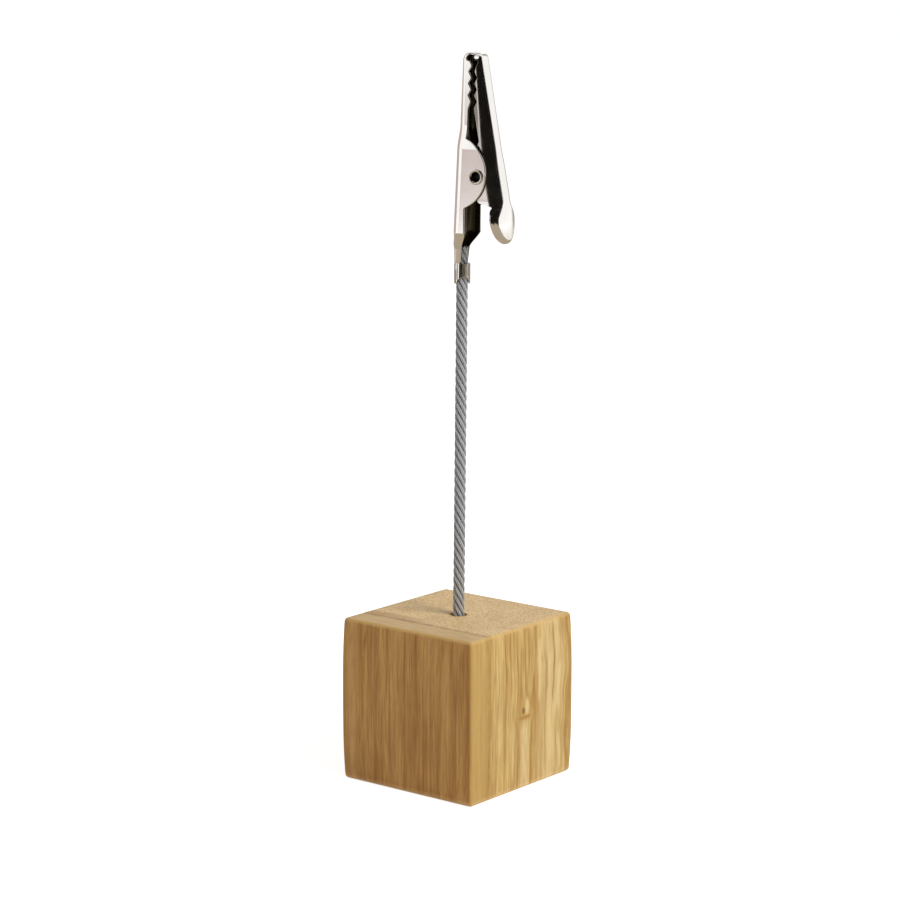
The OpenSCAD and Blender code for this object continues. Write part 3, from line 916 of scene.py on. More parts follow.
def new_material(name):
    """A material with its node helper and its Principled shader."""
    material = bpy.data.materials.new(name)
    material.use_nodes = True
    nodes = Nodes(material.node_tree)
    shader = material.node_tree.nodes["Principled BSDF"]
    return material, nodes, shader


def place_of(nodes):
    return nodes.add("ShaderNodeTexCoord").outputs["Object"]


def worn(nodes, smudge_size, scratch_size=3000):
    """Puts the shared wear into a material, and gives its smudge and its height."""
    wear = nodes.add("ShaderNodeGroup", node_tree=fine_wear_group())
    nodes.put(place_of(nodes), wear.inputs["Vector"])
    nodes.put(smudge_size, wear.inputs["Smudge size"])
    nodes.put(scratch_size, wear.inputs["Scratch size"])
    return wear.outputs[0], wear.outputs[1]


def scaled(tone, share):
    return tuple(share * c for c in tone)


# Finishes


def nickel_finish(name="bright nickel", tint=None, inner=(0.16, 0.14, 0.10), roughness=0.10):
    """Bright nickel plate on bent sheet: a mirror with faint smudges and drawing marks, with painted shade,
    a darker colour and more roughness, where the inside mark says.
    """
    material, nodes, shader = new_material(name)
    tint = tint or settings().clip.nickel[:]
    smudge, height = worn(nodes, 260, 2200)
    plate = nodes.mix(nodes.times(smudge, 0.35), tint, scaled(tint, 0.86))
    # The inner colour is painted shade: the inside mark, on inner walls, bores and shaded flanges, mixes it
    # into the plate.
    inside = nodes.attribute("inside")
    nodes.put(nodes.mix(inside, plate, inner), shader.inputs["Base Color"])
    smooth = nodes.band(smudge, 0, 1, roughness, roughness + 0.10)
    nodes.put(nodes.plus(smooth, nodes.times(inside, 0.15)), shader.inputs["Roughness"])
    shader.inputs["Metallic"].default_value = 1
    nodes.bump(shader, height, 0.03, 0.00002)
    return material


def cable_finish():
    """Galvanised wire with faint dust: the steel's colour on the crowns of the wires, darkened by painted
    shade towards the grooves between strands.
    """
    material, nodes, shader = new_material("galvanised wire")
    groove, dust = (0.33, 0.32, 0.335), (0.44, 0.45, 0.45)
    smudge, height = worn(nodes, 900, 5000)
    # Painted shade: the groove colour darkens the wires towards the cable's axis, by the crown mark.
    crown = nodes.band(nodes.attribute("crown"), 0.62, 0.98)
    base = nodes.mix(crown, groove, settings().cable.steel[:])
    nodes.put(nodes.mix(nodes.times(smudge, 0.3), base, dust), shader.inputs["Base Color"])
    nodes.put(nodes.band(smudge, 0, 1, 0.42, 0.6), shader.inputs["Roughness"])
    shader.inputs["Metallic"].default_value = 0.2
    shader.inputs["Specular IOR Level"].default_value = 0.25
    nodes.bump(shader, height, 0.12, 0.00003)
    return material


def spring_finish():
    """Oiled spring wire with faint smudges."""
    material, nodes, shader = new_material("spring wire")
    smudge, _ = worn(nodes, 700)
    tint = settings().clip.spring[:]
    nodes.put(nodes.mix(smudge, tint, scaled(tint, 0.6)), shader.inputs["Base Color"])
    nodes.put(nodes.band(smudge, 0, 1, 0.25, 0.4), shader.inputs["Roughness"])
    shader.inputs["Metallic"].default_value = 1
    return material


def glue_finish():
    """Dark set glue with dust in its skin."""
    material, nodes, shader = new_material("set glue")
    smudge, _ = worn(nodes, 1500)
    tint = settings().block.glue[:]
    nodes.put(nodes.mix(smudge, tint, scaled(tint, 2.2)), shader.inputs["Base Color"])
    nodes.put(nodes.band(smudge, 0, 1, 0.35, 0.6), shader.inputs["Roughness"])
    nodes.bump(shader, smudge, 0.4, 0.0001)
    return material


class BambooFinish:
    """Laminated bamboo: glued layers, long fibres on the sides and their cut ends on top.

    The mesh says by its attributes "end_grain" and "broad" which side a point lies on. Streaks are
    (place, half width, from height, to height, strength), in millimetres from the cube's middle and its
    underside; a strength above zero is dark and one below zero is pale.
    """

    sawn_streaks = (
        (-9.9, 1.1, 0, 30, 0.50),
        (-9.9, 0.55, 3, 13, 0.75),
        (-9.8, 0.50, 17, 27, 0.60),
        (-12.4, 0.25, 4, 27, 0.25),
        (-8.2, 0.9, 0, 8, 0.30),
        (-8.0, 0.40, 21, 28, 0.45),
        (-6.6, 0.6, 9, 24, -0.30),
        (-5.4, 0.30, 2, 10, 0.55),
        (-5.0, 0.25, 15, 27, 0.50),
        (-3.6, 0.32, 17, 29, 0.60),
        (-3.0, 0.5, 2, 12, -0.25),
        (-1.8, 0.45, 9, 12.8, 0.80),
        (-1.6, 0.28, 0, 11, 0.70),
        (-1.5, 0.30, 17, 29, 0.60),
        (0.4, 1.55, 0, 12.2, -0.75),
        (0.7, 0.30, 18, 30, 0.75),
        (2.5, 0.40, 0, 12.6, 0.80),
        (3.2, 0.45, 13, 21, 0.85),
        (2.9, 0.30, 21, 28, 0.60),
        (8.1, 4.6, 0, 30, -0.45),
        (5.0, 0.9, 15, 27, -0.60),
        (6.7, 0.28, 3, 23, 0.60),
        (7.6, 0.8, 21, 30, -0.50),
        (8.9, 0.32, 15, 29, 0.85),
        (8.4, 1.0, 3, 12, -0.50),
        (10.2, 0.28, 3, 13, 0.60),
        (10.6, 0.9, 12, 22, -0.60),
        (11.3, 0.9, 1, 9, -0.55),
        (12.3, 0.28, 13, 24, 0.55),
        (11.6, 1.2, 26, 30, 0.35),
        (14.0, 1.2, 0, 30, 0.50),
    )
    broad_streaks = (
        (14.6, 0.5, 0, 30, 0.35),
        (12.5, 1.2, 0, 30, -0.55),
        (10.6, 0.5, 0, 12, 0.30),
        (9.3, 0.7, 25, 29, 0.60),
        (7.0, 0.5, 14, 29, 0.30),
        (2.7, 0.9, 0, 30, -0.25),
        (0.3, 0.4, 8, 30, 0.45),
        (-2.1, 0.4, 10, 29, 0.40),
        (-4.9, 0.7, 14, 30, -0.30),
        (-8.6, 0.8, 6, 24, -0.20),
        (-14.2, 0.5, 0, 30, 0.30),
    )
    cube_top = 30
    knot_front = -14
    knot_at = (0.05, 14.6)
    knot_r = 2.3
    knot_pull = 0.72
    sawn_dark = (0.37, 0.190, 0.045)
    sawn_pale = (0.86, 0.66, 0.34)
    # Painted warm shade on the faces towards ±X, partly their own browner colour.
    broad_colour_and_shade = (0.98, 0.75, 0.54)
    end_pale = (0.87, 0.625, 0.315)
    end_patch = (0.62, 0.40, 0.19)
    end_dot = (0.44, 0.26, 0.10)
    end_smudge = (0.42, 0.25, 0.11)
    end_seam = (0.33, 0.19, 0.08)
    first_layer = (0.57, 0.36, 0.105)
    first_end_pale = (0.70, 0.50, 0.25)
    first_end_dark = (0.60, 0.39, 0.17)
    # Painted highlight along the rounded edges.
    painted_edge_highlight = (0.66, 0.40, 0.12)

    def __init__(self):
        self.material, self.nodes, self.shader = new_material("laminated bamboo")
        nodes = self.nodes
        self.place = place_of(nodes)
        in_mm = nodes.vector_math("MULTIPLY", self.place, (1 / MM, 1 / MM, 1 / MM))
        self.x, self.y, self.z = nodes.add("ShaderNodeSeparateXYZ", {0: in_mm}).outputs
        self.end, self.broad = nodes.attribute("end_grain"), nodes.attribute("broad")

    def noise(self, vector, scale, detail=2.0, rough=0.5):
        return self.nodes.add(
            "ShaderNodeTexNoise", {"Vector": vector, "Scale": scale, "Detail": detail, "Roughness": rough}
        ).outputs[0]

    def stripe(self, value, at, width):
        """One at a place and nothing beyond its width, on either side."""
        nodes = self.nodes
        away = nodes.math("ABSOLUTE", nodes.minus(value, at))
        return nodes.band(away, width, 0.3 * width)

    def window(self, low, high, soft=1.2):
        """One between two heights, with soft ends except at the cube's own edges."""
        nodes = self.nodes
        rise = nodes.band(self.z, low - soft, low + soft) if low > 0 else 1.0
        fall = nodes.band(self.z, high + soft, high - soft) if high < self.cube_top else 1.0
        return nodes.times(rise, fall)

    def streaked(self, colour, along, streaks, share):
        """Lays dark and pale streaks over a colour, broken up along the fibres."""
        nodes = self.nodes
        rough = nodes.vector(along, nodes.times(self.z, 0.22))
        broken = nodes.band(self.noise(rough, 1.1, 3.0), 0.34, 0.56, 0.45, 1.0)
        for tone, sign in ((self.sawn_pale, -1), (self.sawn_dark, 1)):
            total = None
            for at, width, low, high, strength in streaks:
                if strength * sign < 0:
                    continue
                streak = nodes.times(self.stripe(along, at, width), self.window(low, high), abs(strength))
                total = streak if total is None else nodes.math("MAXIMUM", total, streak)
            colour = nodes.mix(nodes.times(total, broken, share), colour, tone)
        return colour

    def fibre_lines(self):
        """x and y with a little sway, and with x drawn in towards the knot on the sawn side."""
        nodes = self.nodes
        slow = nodes.vector_math("MULTIPLY", self.place, (90, 90, 75))
        sway = nodes.minus(self.noise(slow, 1.0), 0.5)
        wild = nodes.band(self.x, 4, 11, 0.9, 4.2)
        x = nodes.plus(self.x, nodes.times(sway, wild))
        y = nodes.plus(self.y, nodes.times(sway, 0.8))
        dx = nodes.minus(self.x, self.knot_at[0])
        dz = nodes.minus(self.z, self.knot_at[1])
        span = nodes.over(nodes.squares(dx, dz), self.knot_r ** 2)
        near = nodes.times(nodes.math("EXPONENT", nodes.times(span, -1.0)), self.knot_pull)
        depth = nodes.band(self.y, -15, -9, 1.0, 0.0)
        return nodes.minus(x, nodes.times(near, depth, dx)), y

    def knot(self, colour):
        """The small bud in the sawn side: a dark eye, a brown hood over it and a pale foot."""
        nodes = self.nodes
        x0, z0 = self.knot_at
        front = nodes.math("LESS_THAN", self.y, self.knot_front)
        for at_x, at_z, rx, rz, tone, share in (
            (x0 + 1.2, z0 + 0.6, 3.2, 2.6, (0.56, 0.34, 0.10), 0.55),
            (x0 + 2.9, z0 + 1.4, 1.1, 2.0, (0.46, 0.25, 0.06), 0.70),
            (x0 + 1.1, z0 + 0.6, 0.70, 1.7, (0.80, 0.60, 0.28), 0.85),
            (x0 + 0.4, z0 - 1.3, 2.1, 0.42, (0.46, 0.24, 0.05), 0.85),
            (x0 + 0.0, z0 + 0.0, 0.50, 0.70, (0.22, 0.12, 0.03), 0.85),
        ):
            dx = nodes.over(nodes.minus(self.x, at_x), rx)
            dz = nodes.over(nodes.minus(self.z, at_z), rz)
            spot = nodes.band(nodes.math("SQRT", nodes.squares(dx, dz)), 1.15, 0.55, 0.0, share)
            colour = nodes.mix(nodes.times(spot, front), colour, tone)
        return colour

    def end_grain(self):
        """The top: cut fibre bundles as small dots, except in the smooth first layer."""
        nodes = self.nodes
        slant = nodes.add("ShaderNodeMapping", {"Vector": self.place, "Rotation": (0, 0, radians(35))})
        cells = nodes.add("ShaderNodeTexVoronoi", {"Vector": slant, "Scale": 1650.0, "Randomness": 0.6})
        dots = nodes.band(cells.outputs[0], 0.48, 0.16, 0.0, 0.85)
        patch = nodes.band(self.noise(self.place, 240.0, 3.0), 0.38, 0.66)
        past = nodes.band(self.x, -9.6, -9.2)
        dots = nodes.times(dots, past, nodes.band(patch, 0, 1, 0.75, 1.0))
        tone = nodes.mix(nodes.times(patch, 0.35), self.end_pale, self.end_patch)
        lines = self.noise(nodes.vector_math("MULTIPLY", self.place, (2600, 200, 200)), 1.0)
        first = nodes.mix(nodes.band(lines, 0.4, 0.65), self.first_end_pale, self.first_end_dark)
        tone = nodes.mix(past, first, tone)
        tone = nodes.mix(dots, tone, self.end_dot)
        seam = self.stripe(self.x, -9.5, 0.75)
        strength = nodes.band(self.y, -15, 8, 0.45, 0.85)
        smudge = nodes.times(self.stripe(self.x, -8.2, 1.9), nodes.band(self.y, -2, 6, 0.0, 0.55))
        tone = nodes.mix(smudge, tone, self.end_smudge)
        uneven = nodes.band(self.noise(self.place, 500.0), 0.35, 0.6, 0.45, 1.0)
        return nodes.mix(nodes.times(seam, strength, uneven), tone, self.end_seam)

    def build(self):
        block = settings().block
        nodes, shader = self.nodes, self.shader
        x, y = self.fibre_lines()
        along = nodes.vector(x, y, nodes.times(self.z, 0.045))
        bands = nodes.band(self.noise(along, 0.9, 3.0, 0.65), 0.34, 0.66)
        fine = self.noise(along, 1.9, 3.0, 0.65)
        hair = self.noise(along, 4.2, 2.0)
        flesh = nodes.mix(bands, block.pale[:], block.honey[:])
        for fibres, share in ((fine, 0.50), (hair, 0.40)):
            flesh = nodes.mix(nodes.times(nodes.band(fibres, 0.48, 0.70), share), flesh, self.sawn_dark)
        narrow = nodes.minus(1.0, self.broad)
        first = nodes.times(nodes.band(self.x, -9.6, -9.9), narrow, 0.65)
        flesh = nodes.mix(first, flesh, self.first_layer)
        sawn = self.streaked(flesh, x, self.sawn_streaks, narrow)
        sides = self.knot(self.streaked(sawn, y, self.broad_streaks, self.broad))
        # The faces towards ±X get painted warm shade, partly their own browner colour.
        sides = nodes.mix(self.broad, sides, nodes.mix(1.0, sides, self.broad_colour_and_shade, "MULTIPLY"))
        whole = nodes.mix(self.end, sides, self.end_grain())
        # Painted highlight on the rounded edges, where the top and the ±X faces turn.
        for share, strength in ((self.end, 1.9), (self.broad, 1.8)):
            turn = nodes.times(share, nodes.minus(1.0, share), strength)
            whole = nodes.mix(turn, whole, self.painted_edge_highlight)
        nodes.put(whole, shader.inputs["Base Color"])
        nodes.put(nodes.band(fine, 0.3, 0.7, 0.42, 0.58), shader.inputs["Roughness"])
        height = nodes.minus(nodes.times(bands, 0.6), nodes.times(fine, 0.8))
        nodes.bump(shader, height, 0.3, 0.00005)
        return self.material


def floor_finish(strength=0.76):
    """Matt floor that stays white to the camera and in reflections and keeps the shadow."""
    material, nodes, shader = new_material("pale floor")
    shader.inputs["Base Color"].default_value = (*settings().stage.floor, 1)
    shader.inputs["Roughness"].default_value = 0.9
    shader.inputs["Specular IOR Level"].default_value = 0
    glow = nodes.add("ShaderNodeEmission", {"Strength": strength})
    both = nodes.add("ShaderNodeAddShader", {0: shader, 1: glow})
    mixed = nodes.add("ShaderNodeMixShader", {0: nodes.seen_rays(), 1: shader, 2: both})
    nodes.put(mixed, nodes.tree.nodes["Material Output"].inputs["Surface"])
    return material


# Geometry Nodes


def cable_tree():
    """Nodes that wind wires into strands and strands into a cable along Z."""
    tree = bpy.data.node_groups.new("Wound cable", "GeometryNodeTree")
    floats = ("Length", "Strand radius", "Strand lay radius", "Lay", "Wire lay", "Step")
    for label in floats:
        tree.interface.new_socket(label, in_out="INPUT", socket_type="NodeSocketFloat")
    for label in ("Strands", "Wires"):
        tree.interface.new_socket(label, in_out="INPUT", socket_type="NodeSocketInt")
    tree.interface.new_socket("Material", in_out="INPUT", socket_type="NodeSocketMaterial")
    tree.interface.new_socket("Geometry", in_out="OUTPUT", socket_type="NodeSocketGeometry")
    nodes = Nodes(tree)
    given = nodes.add("NodeGroupInput").outputs
    end = nodes.vector(0.0, 0.0, given["Length"])
    line = nodes.add("GeometryNodeCurvePrimitiveLine", {"End": end})
    steps = nodes.add("GeometryNodeResampleCurve", {"Curve": line, "Length": given["Step"]}, mode="LENGTH")
    total = nodes.times(nodes.plus(given["Strands"], 1.0), given["Wires"])
    lines = {"Geometry": steps, "Amount": total}
    copies = nodes.add("GeometryNodeDuplicateElements", lines, domain="SPLINE")
    number = copies.outputs["Duplicate Index"]
    strand = nodes.math("FLOOR", nodes.over(nodes.plus(number, 0.01), given["Wires"]))
    wire = nodes.minus(number, nodes.times(strand, given["Wires"]))
    up = nodes.add("ShaderNodeSeparateXYZ", {0: nodes.add("GeometryNodeInputPosition")}).outputs[2]
    is_core = nodes.math("GREATER_THAN", strand, nodes.minus(given["Strands"], 0.5))
    is_middle = nodes.math("LESS_THAN", wire, 0.5)
    outer = nodes.minus(1.0, is_core)
    lay_r = nodes.times(given["Strand lay radius"], outer)
    wire_r = nodes.over(given["Strand radius"], 3.0)
    # The outer wires' middles lie this many wire radii from their strand's middle, so that they touch it
    spacing = 1.97
    wind_r = nodes.times(wire_r, spacing, nodes.minus(1.0, is_middle))
    full = 2 * pi
    # A left-hand lay turns backwards as it rises, and the wires turn the other way in their strands
    turn = nodes.times(nodes.over(up, given["Lay"]), -full)
    theta = nodes.plus(turn, nodes.times(nodes.over(strand, given["Strands"]), full))
    spread = nodes.over(nodes.times(wire, full), nodes.minus(given["Wires"], 1.0))
    phi = nodes.plus(nodes.times(nodes.over(up, given["Wire lay"]), full), spread)
    ct, st = nodes.math("COSINE", theta), nodes.math("SINE", theta)
    radial = nodes.vector(ct, st)
    slope = nodes.over(nodes.times(lay_r, -full), given["Lay"])
    tangent = nodes.vector(nodes.times(st, slope, -1.0), nodes.times(ct, slope), 1.0)
    side = nodes.vector_math("NORMALIZE", nodes.vector_math("CROSS_PRODUCT", tangent, radial))
    out_part = nodes.plus(lay_r, nodes.times(wind_r, nodes.math("COSINE", phi)))
    out_vector = nodes.add("ShaderNodeVectorMath", {0: radial, "Scale": out_part}, operation="SCALE")
    side_part = nodes.times(wind_r, nodes.math("SINE", phi))
    side_vector = nodes.add("ShaderNodeVectorMath", {0: side, "Scale": side_part}, operation="SCALE")
    lift = nodes.vector(0.0, 0.0, up)
    place = nodes.vector_math("ADD", nodes.vector_math("ADD", out_vector, side_vector), lift)
    wound = nodes.add("GeometryNodeSetPosition", {"Geometry": copies, "Position": place})
    circle = nodes.add("GeometryNodeCurvePrimitiveCircle", {"Resolution": 6, "Radius": wire_r})
    sweep = {"Curve": wound, "Profile Curve": circle, "Fill Caps": True}
    tube = nodes.add("GeometryNodeCurveToMesh", sweep)
    # The distance from the cable's axis, kept for the finish, which paints shade into the grooves by it.
    level = nodes.vector_math("MULTIPLY", nodes.add("GeometryNodeInputPosition").outputs[0], (1, 1, 0))
    reach = nodes.plus(given["Strand lay radius"], given["Strand radius"])
    stored = nodes.add(
        "GeometryNodeStoreNamedAttribute",
        {"Geometry": tube, "Name": "crown"},
        data_type="FLOAT",
        domain="POINT",
    )
    value = next(socket for socket in stored.inputs if socket.name == "Value" and socket.enabled)
    nodes.put(nodes.over(nodes.vector_math("LENGTH", level), reach), value)
    smooth = nodes.add("GeometryNodeSetShadeSmooth", {0: stored})
    real = nodes.add("GeometryNodeRealizeInstances", {0: smooth})
    painted = nodes.add("GeometryNodeSetMaterial", {"Geometry": real, "Material": given["Material"]})
    result = nodes.add("NodeGroupOutput")
    nodes.put(painted, result.inputs[0])
    return tree


def set_inputs(modifier, tree, values):
    """Sets a Geometry Nodes modifier's inputs by their sockets' identifiers."""
    for item in tree.interface.items_tree:
        if item.item_type == "SOCKET" and item.in_out == "INPUT" and item.name in values:
            modifier[item.identifier] = values[item.name]


# Operators


class MEMO_OT_bamboo_block(bpy.types.Operator):
    """Builds the laminated bamboo cube with its seams and its hole"""

    bl_idname = "memo.bamboo_block"
    bl_label = "Bamboo cube"

    edge_steps = 6
    flat_steps = 24
    seam_clear = 1.2

    def grid_line(self):
        """Places of the cube's grid lines along one axis, closer at the edges."""
        block = settings().block
        half, r = block.side / 2, block.edge_r
        lines = {half - r * (1 - cos(pi / 2 * i / self.edge_steps)) for i in range(self.edge_steps + 1)}
        lines |= {-v for v in lines}
        lines |= {(half - r) * (2 * i / self.flat_steps - 1) for i in range(1, self.flat_steps)}
        return sorted(lines)

    def seam_lines(self):
        """Places of the glue seams along X."""
        block = settings().block
        seams = []
        x = -block.side / 2 + block.layer_w
        while x < block.side / 2 - block.layer_w / 2:
            seams.append(x)
            x += block.layer_w
        return seams

    def execute(self, context):
        block = settings().block
        half, r = block.side / 2, block.edge_r
        base = self.grid_line()
        seams = self.seam_lines()
        across = [s + block.seam_w * k for s in seams for k in (-1, -0.5, 0, 0.5, 1)]
        clear = block.seam_w * self.seam_clear
        spots = [sorted([v for v in base if all(abs(v - s) > clear for s in seams)] + across), base, base]
        points, faces, seen = [], [], {}
        shares = {"end_grain": [], "broad": []}

        def corner(x, y, z):
            key = (round(x, 8), round(y, 8), round(z, 8))
            if key not in seen:
                seen[key] = len(points)
                spot, facing = self.shaped(Vector(key), half, r, seams)
                points.append(spot)
                shares["end_grain"].append(facing.z ** 2)
                shares["broad"].append(facing.x ** 2)
            return seen[key]

        for axis in range(3):
            u, v = [k for k in range(3) if k != axis]
            for level in (-half, half):
                for a0, a1 in zip(spots[u], spots[u][1:]):
                    for b0, b1 in zip(spots[v], spots[v][1:]):
                        face = []
                        for a, b in ((a0, b0), (a1, b0), (a1, b1), (a0, b1)):
                            spot = [0.0, 0.0, 0.0]
                            spot[axis], spot[u], spot[v] = level, a, b
                            face.append(corner(*spot))
                        faces.append(tuple(face))
        piece = new_piece("bamboo_cube", points, faces, Matrix.Translation((0, 0, half)))
        for label, values in shares.items():
            mark(piece, label, values)
        tidy_mesh(piece)
        combine(piece, cylinder(block.hole_d / 2, 2 * block.hole_depth, on_stem(), steps=72), "DIFFERENCE")
        soften(piece, 50)
        paint(piece, BambooFinish().build())
        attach(piece, STAND)
        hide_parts("bamboo_block")
        return {"FINISHED"}

    def shaped(self, p, half, r, seams):
        """A point of the plain cube moved onto the sanded one, and the direction it faces."""
        block = settings().block
        inner = Vector([max(-(half - r), min(half - r, c)) for c in p])
        away = (p - inner).normalized()
        p = inner + away * r
        groove = max(max(0, 1 - abs(p.x - s) / block.seam_w) for s in seams)
        p -= away * block.seam_depth * groove
        fall = 1 - block.bow / half * abs(p.z / half) ** 3
        return (p.x * fall, p.y * fall, p.z), away


class MEMO_OT_glue_ring(bpy.types.Operator):
    """Builds the set glue between the cable and its hole"""

    bl_idname = "memo.glue_ring"
    bl_label = "Glue"

    outer_gap = 0.02
    inner_gap = 0.03
    sag = 0.12
    sag_steps = 8

    def execute(self, context):
        block, cable = settings().block, settings().cable
        outer = block.hole_d / 2 - self.outer_gap * MM
        inner = cable.diameter / 2 + self.inner_gap * MM
        low, top = -block.hole_depth, -block.glue_sink
        outline = [(inner, low), (outer, low), (outer, top)]
        for i in range(1, self.sag_steps):
            t = i / self.sag_steps
            outline.append((outer + (inner - outer) * t, top - self.sag * MM * sin(pi * t)))
        outline.append((inner, top))
        piece = lathe("glue_ring", outline, on_stem())
        soften(piece)
        paint(piece, glue_finish())
        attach(piece, STAND)
        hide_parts("glue_plug")
        return {"FINISHED"}


class MEMO_OT_cable(bpy.types.Operator):
    """Winds the steel cable from its wires"""

    bl_idname = "memo.cable"
    bl_label = "Cable"

    wire_step = 0.36

    def execute(self, context):
        block, cable, clip = settings().block, settings().cable, settings().clip
        lean = atan(2 * pi * cable.diameter / 3 / cable.lay)
        half = sin(pi / cable.strands)
        strand_r = (cable.diameter / 2 * half - cable.strand_gap / 2) / (1 / cos(lean) + half)
        tree = cable_tree()
        piece = new_piece("wire_rope", [], [])
        step = piece.modifiers.new("Wound cable", "NODES")
        step.node_group = tree
        set_inputs(step, tree, {
            "Length": block.hole_depth + cable.stem + clip.barrel_len + cable.end,
            "Strand radius": strand_r,
            "Strand lay radius": cable.diameter / 2 - strand_r,
            "Lay": cable.lay,
            "Wire lay": cable.wire_lay,
            "Step": self.wire_step * MM,
            "Strands": cable.strands,
            "Wires": cable.wires,
            "Material": cable_finish(),
        })
        bake_modifiers(piece)
        piece.data.transform(on_stem() @ Matrix.Translation((0, 0, -block.hole_depth)))
        if not piece.data.polygons:
            raise RuntimeError("the cable's nodes gave no faces")
        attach(piece, STAND)
        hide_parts("cable_core", *[f"cable_strand_{i + 1}" for i in range(cable.strands)])
        return {"FINISHED"}


class MEMO_OT_jaws(bpy.types.Operator):
    """Bends the two jaws of the clip from sheet"""

    bl_idname = "memo.jaws"
    bl_label = "Jaws"

    def execute(self, context):
        finish = nickel_finish()
        for shape, name, node, body, gap, back in (
            (FixedJawShape(), "jaw_with_barrel", "fixed_jaw", STAND, ClipShape.seat_gap, False),
            (MovingJawShape(), "jaw_with_handle", "moving_jaw", JAW, ClipShape.pivot_gap, True),
        ):
            piece = bent_sheet(name, shape.stations(), closed_start=back, faces_back=back)
            if not back:
                combine(piece, shape.barrel(), "UNION")
            bore = cylinder((shape.rivet_r + gap) * MM, 4 * shape.half * MM, along_pivot())
            combine(piece, bore, "DIFFERENCE")
            soften(piece)
            paint(piece, finish)
            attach(piece, body)
            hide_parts(node)
        return {"FINISHED"}


class MEMO_OT_rivet(bpy.types.Operator):
    """Turns the tubular rivet with its rolled rims"""

    bl_idname = "memo.rivet"
    bl_label = "Rivet"

    wall = 0.25
    rim = 0.25
    rim_t = 0.32
    mouth_r = 0.3
    bore_clear = 0.05

    def execute(self, context):
        shape = ClipShape()
        seat = shape.half + shape.seat_gap
        bore_r, outer_r = shape.rivet_r - self.wall, shape.rivet_r + self.rim
        rim_r, mouth_r = self.rim_t / 2, self.mouth_r
        top = arc(bore_r + mouth_r, seat + self.rim_t - mouth_r, mouth_r, pi, pi / 2)
        top += arc(outer_r - rim_r, seat + rim_r, rim_r, pi / 2, -pi / 2)
        top.append((shape.rivet_r, seat))
        outline = top + [(r, -z) for r, z in reversed(top)]
        piece = lathe("pivot_eyelet", [(r * MM, z * MM) for r, z in outline], along_pivot())
        # Painted shade: the bore is marked inside, and the finish paints it almost black.
        back = along_pivot().inverted()
        spots = [back @ v.co for v in piece.data.vertices]
        mark(piece, "inside", [p.xy.length < (bore_r + self.bore_clear) * MM for p in spots])
        soften(piece)
        finish = nickel_finish("nickel rivet", (0.74, 0.70, 0.64), (0.012, 0.011, 0.009), 0.14)
        paint(piece, finish)
        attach(piece, STAND)
        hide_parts("pivot_rivet")
        return {"FINISHED"}


class MEMO_OT_spring(bpy.types.Operator):
    """Winds the torsion spring round the rivet"""

    bl_idname = "memo.spring"
    bl_label = "Spring"

    turns = 5
    turn_steps = 40
    leg = 8.4
    leg_lean = 20
    leg_steps = 12
    coil_gap = 0.06

    def execute(self, context):
        shape = ClipShape()
        wire_r = settings().clip.wire_d / MM / 2
        coil_r = shape.rivet_r + wire_r + shape.spring_gap
        half = self.turns * (2 * wire_r + self.coil_gap) / 2
        lean = radians(self.leg_lean)
        sweep = 2 * pi * self.turns + pi - 2 * lean
        steps = self.turn_steps * self.turns
        path = []
        for i in range(steps + 1):
            a = pi - lean - sweep * i / steps
            path.append(Vector((coil_r * cos(a), half * (2 * i / steps - 1), coil_r * sin(a))))
        legs = []
        for spot, side in ((path[0], -1), (path[-1], 1)):
            drop = Vector((side * sin(lean), 0, -cos(lean))) * self.leg
            legs.append([spot + drop * k / self.leg_steps for k in range(1, self.leg_steps + 1)])
        path = legs[0][::-1] + path + legs[1]
        curve = bpy.data.curves.new("spring_path", "CURVE")
        curve.dimensions = "3D"
        curve.bevel_depth = wire_r * MM
        curve.bevel_resolution = 3
        curve.use_fill_caps = True
        spline = curve.splines.new("POLY")
        spline.points.add(len(path) - 1)
        for point, spot in zip(spline.points, path):
            point.co = (*(spot * MM), 1)
        bent = new_object("spring_path", curve)
        mesh = final_mesh(bent)
        bpy.data.objects.remove(bent)
        place = at_pivot()
        mesh.transform(place)
        mesh.name = "torsion_spring"
        piece = new_object("torsion_spring", mesh)
        tidy_mesh(piece)
        soften(piece)
        paint(piece, spring_finish())
        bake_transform(piece)
        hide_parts("jaw_spring")
        return {"FINISHED"}


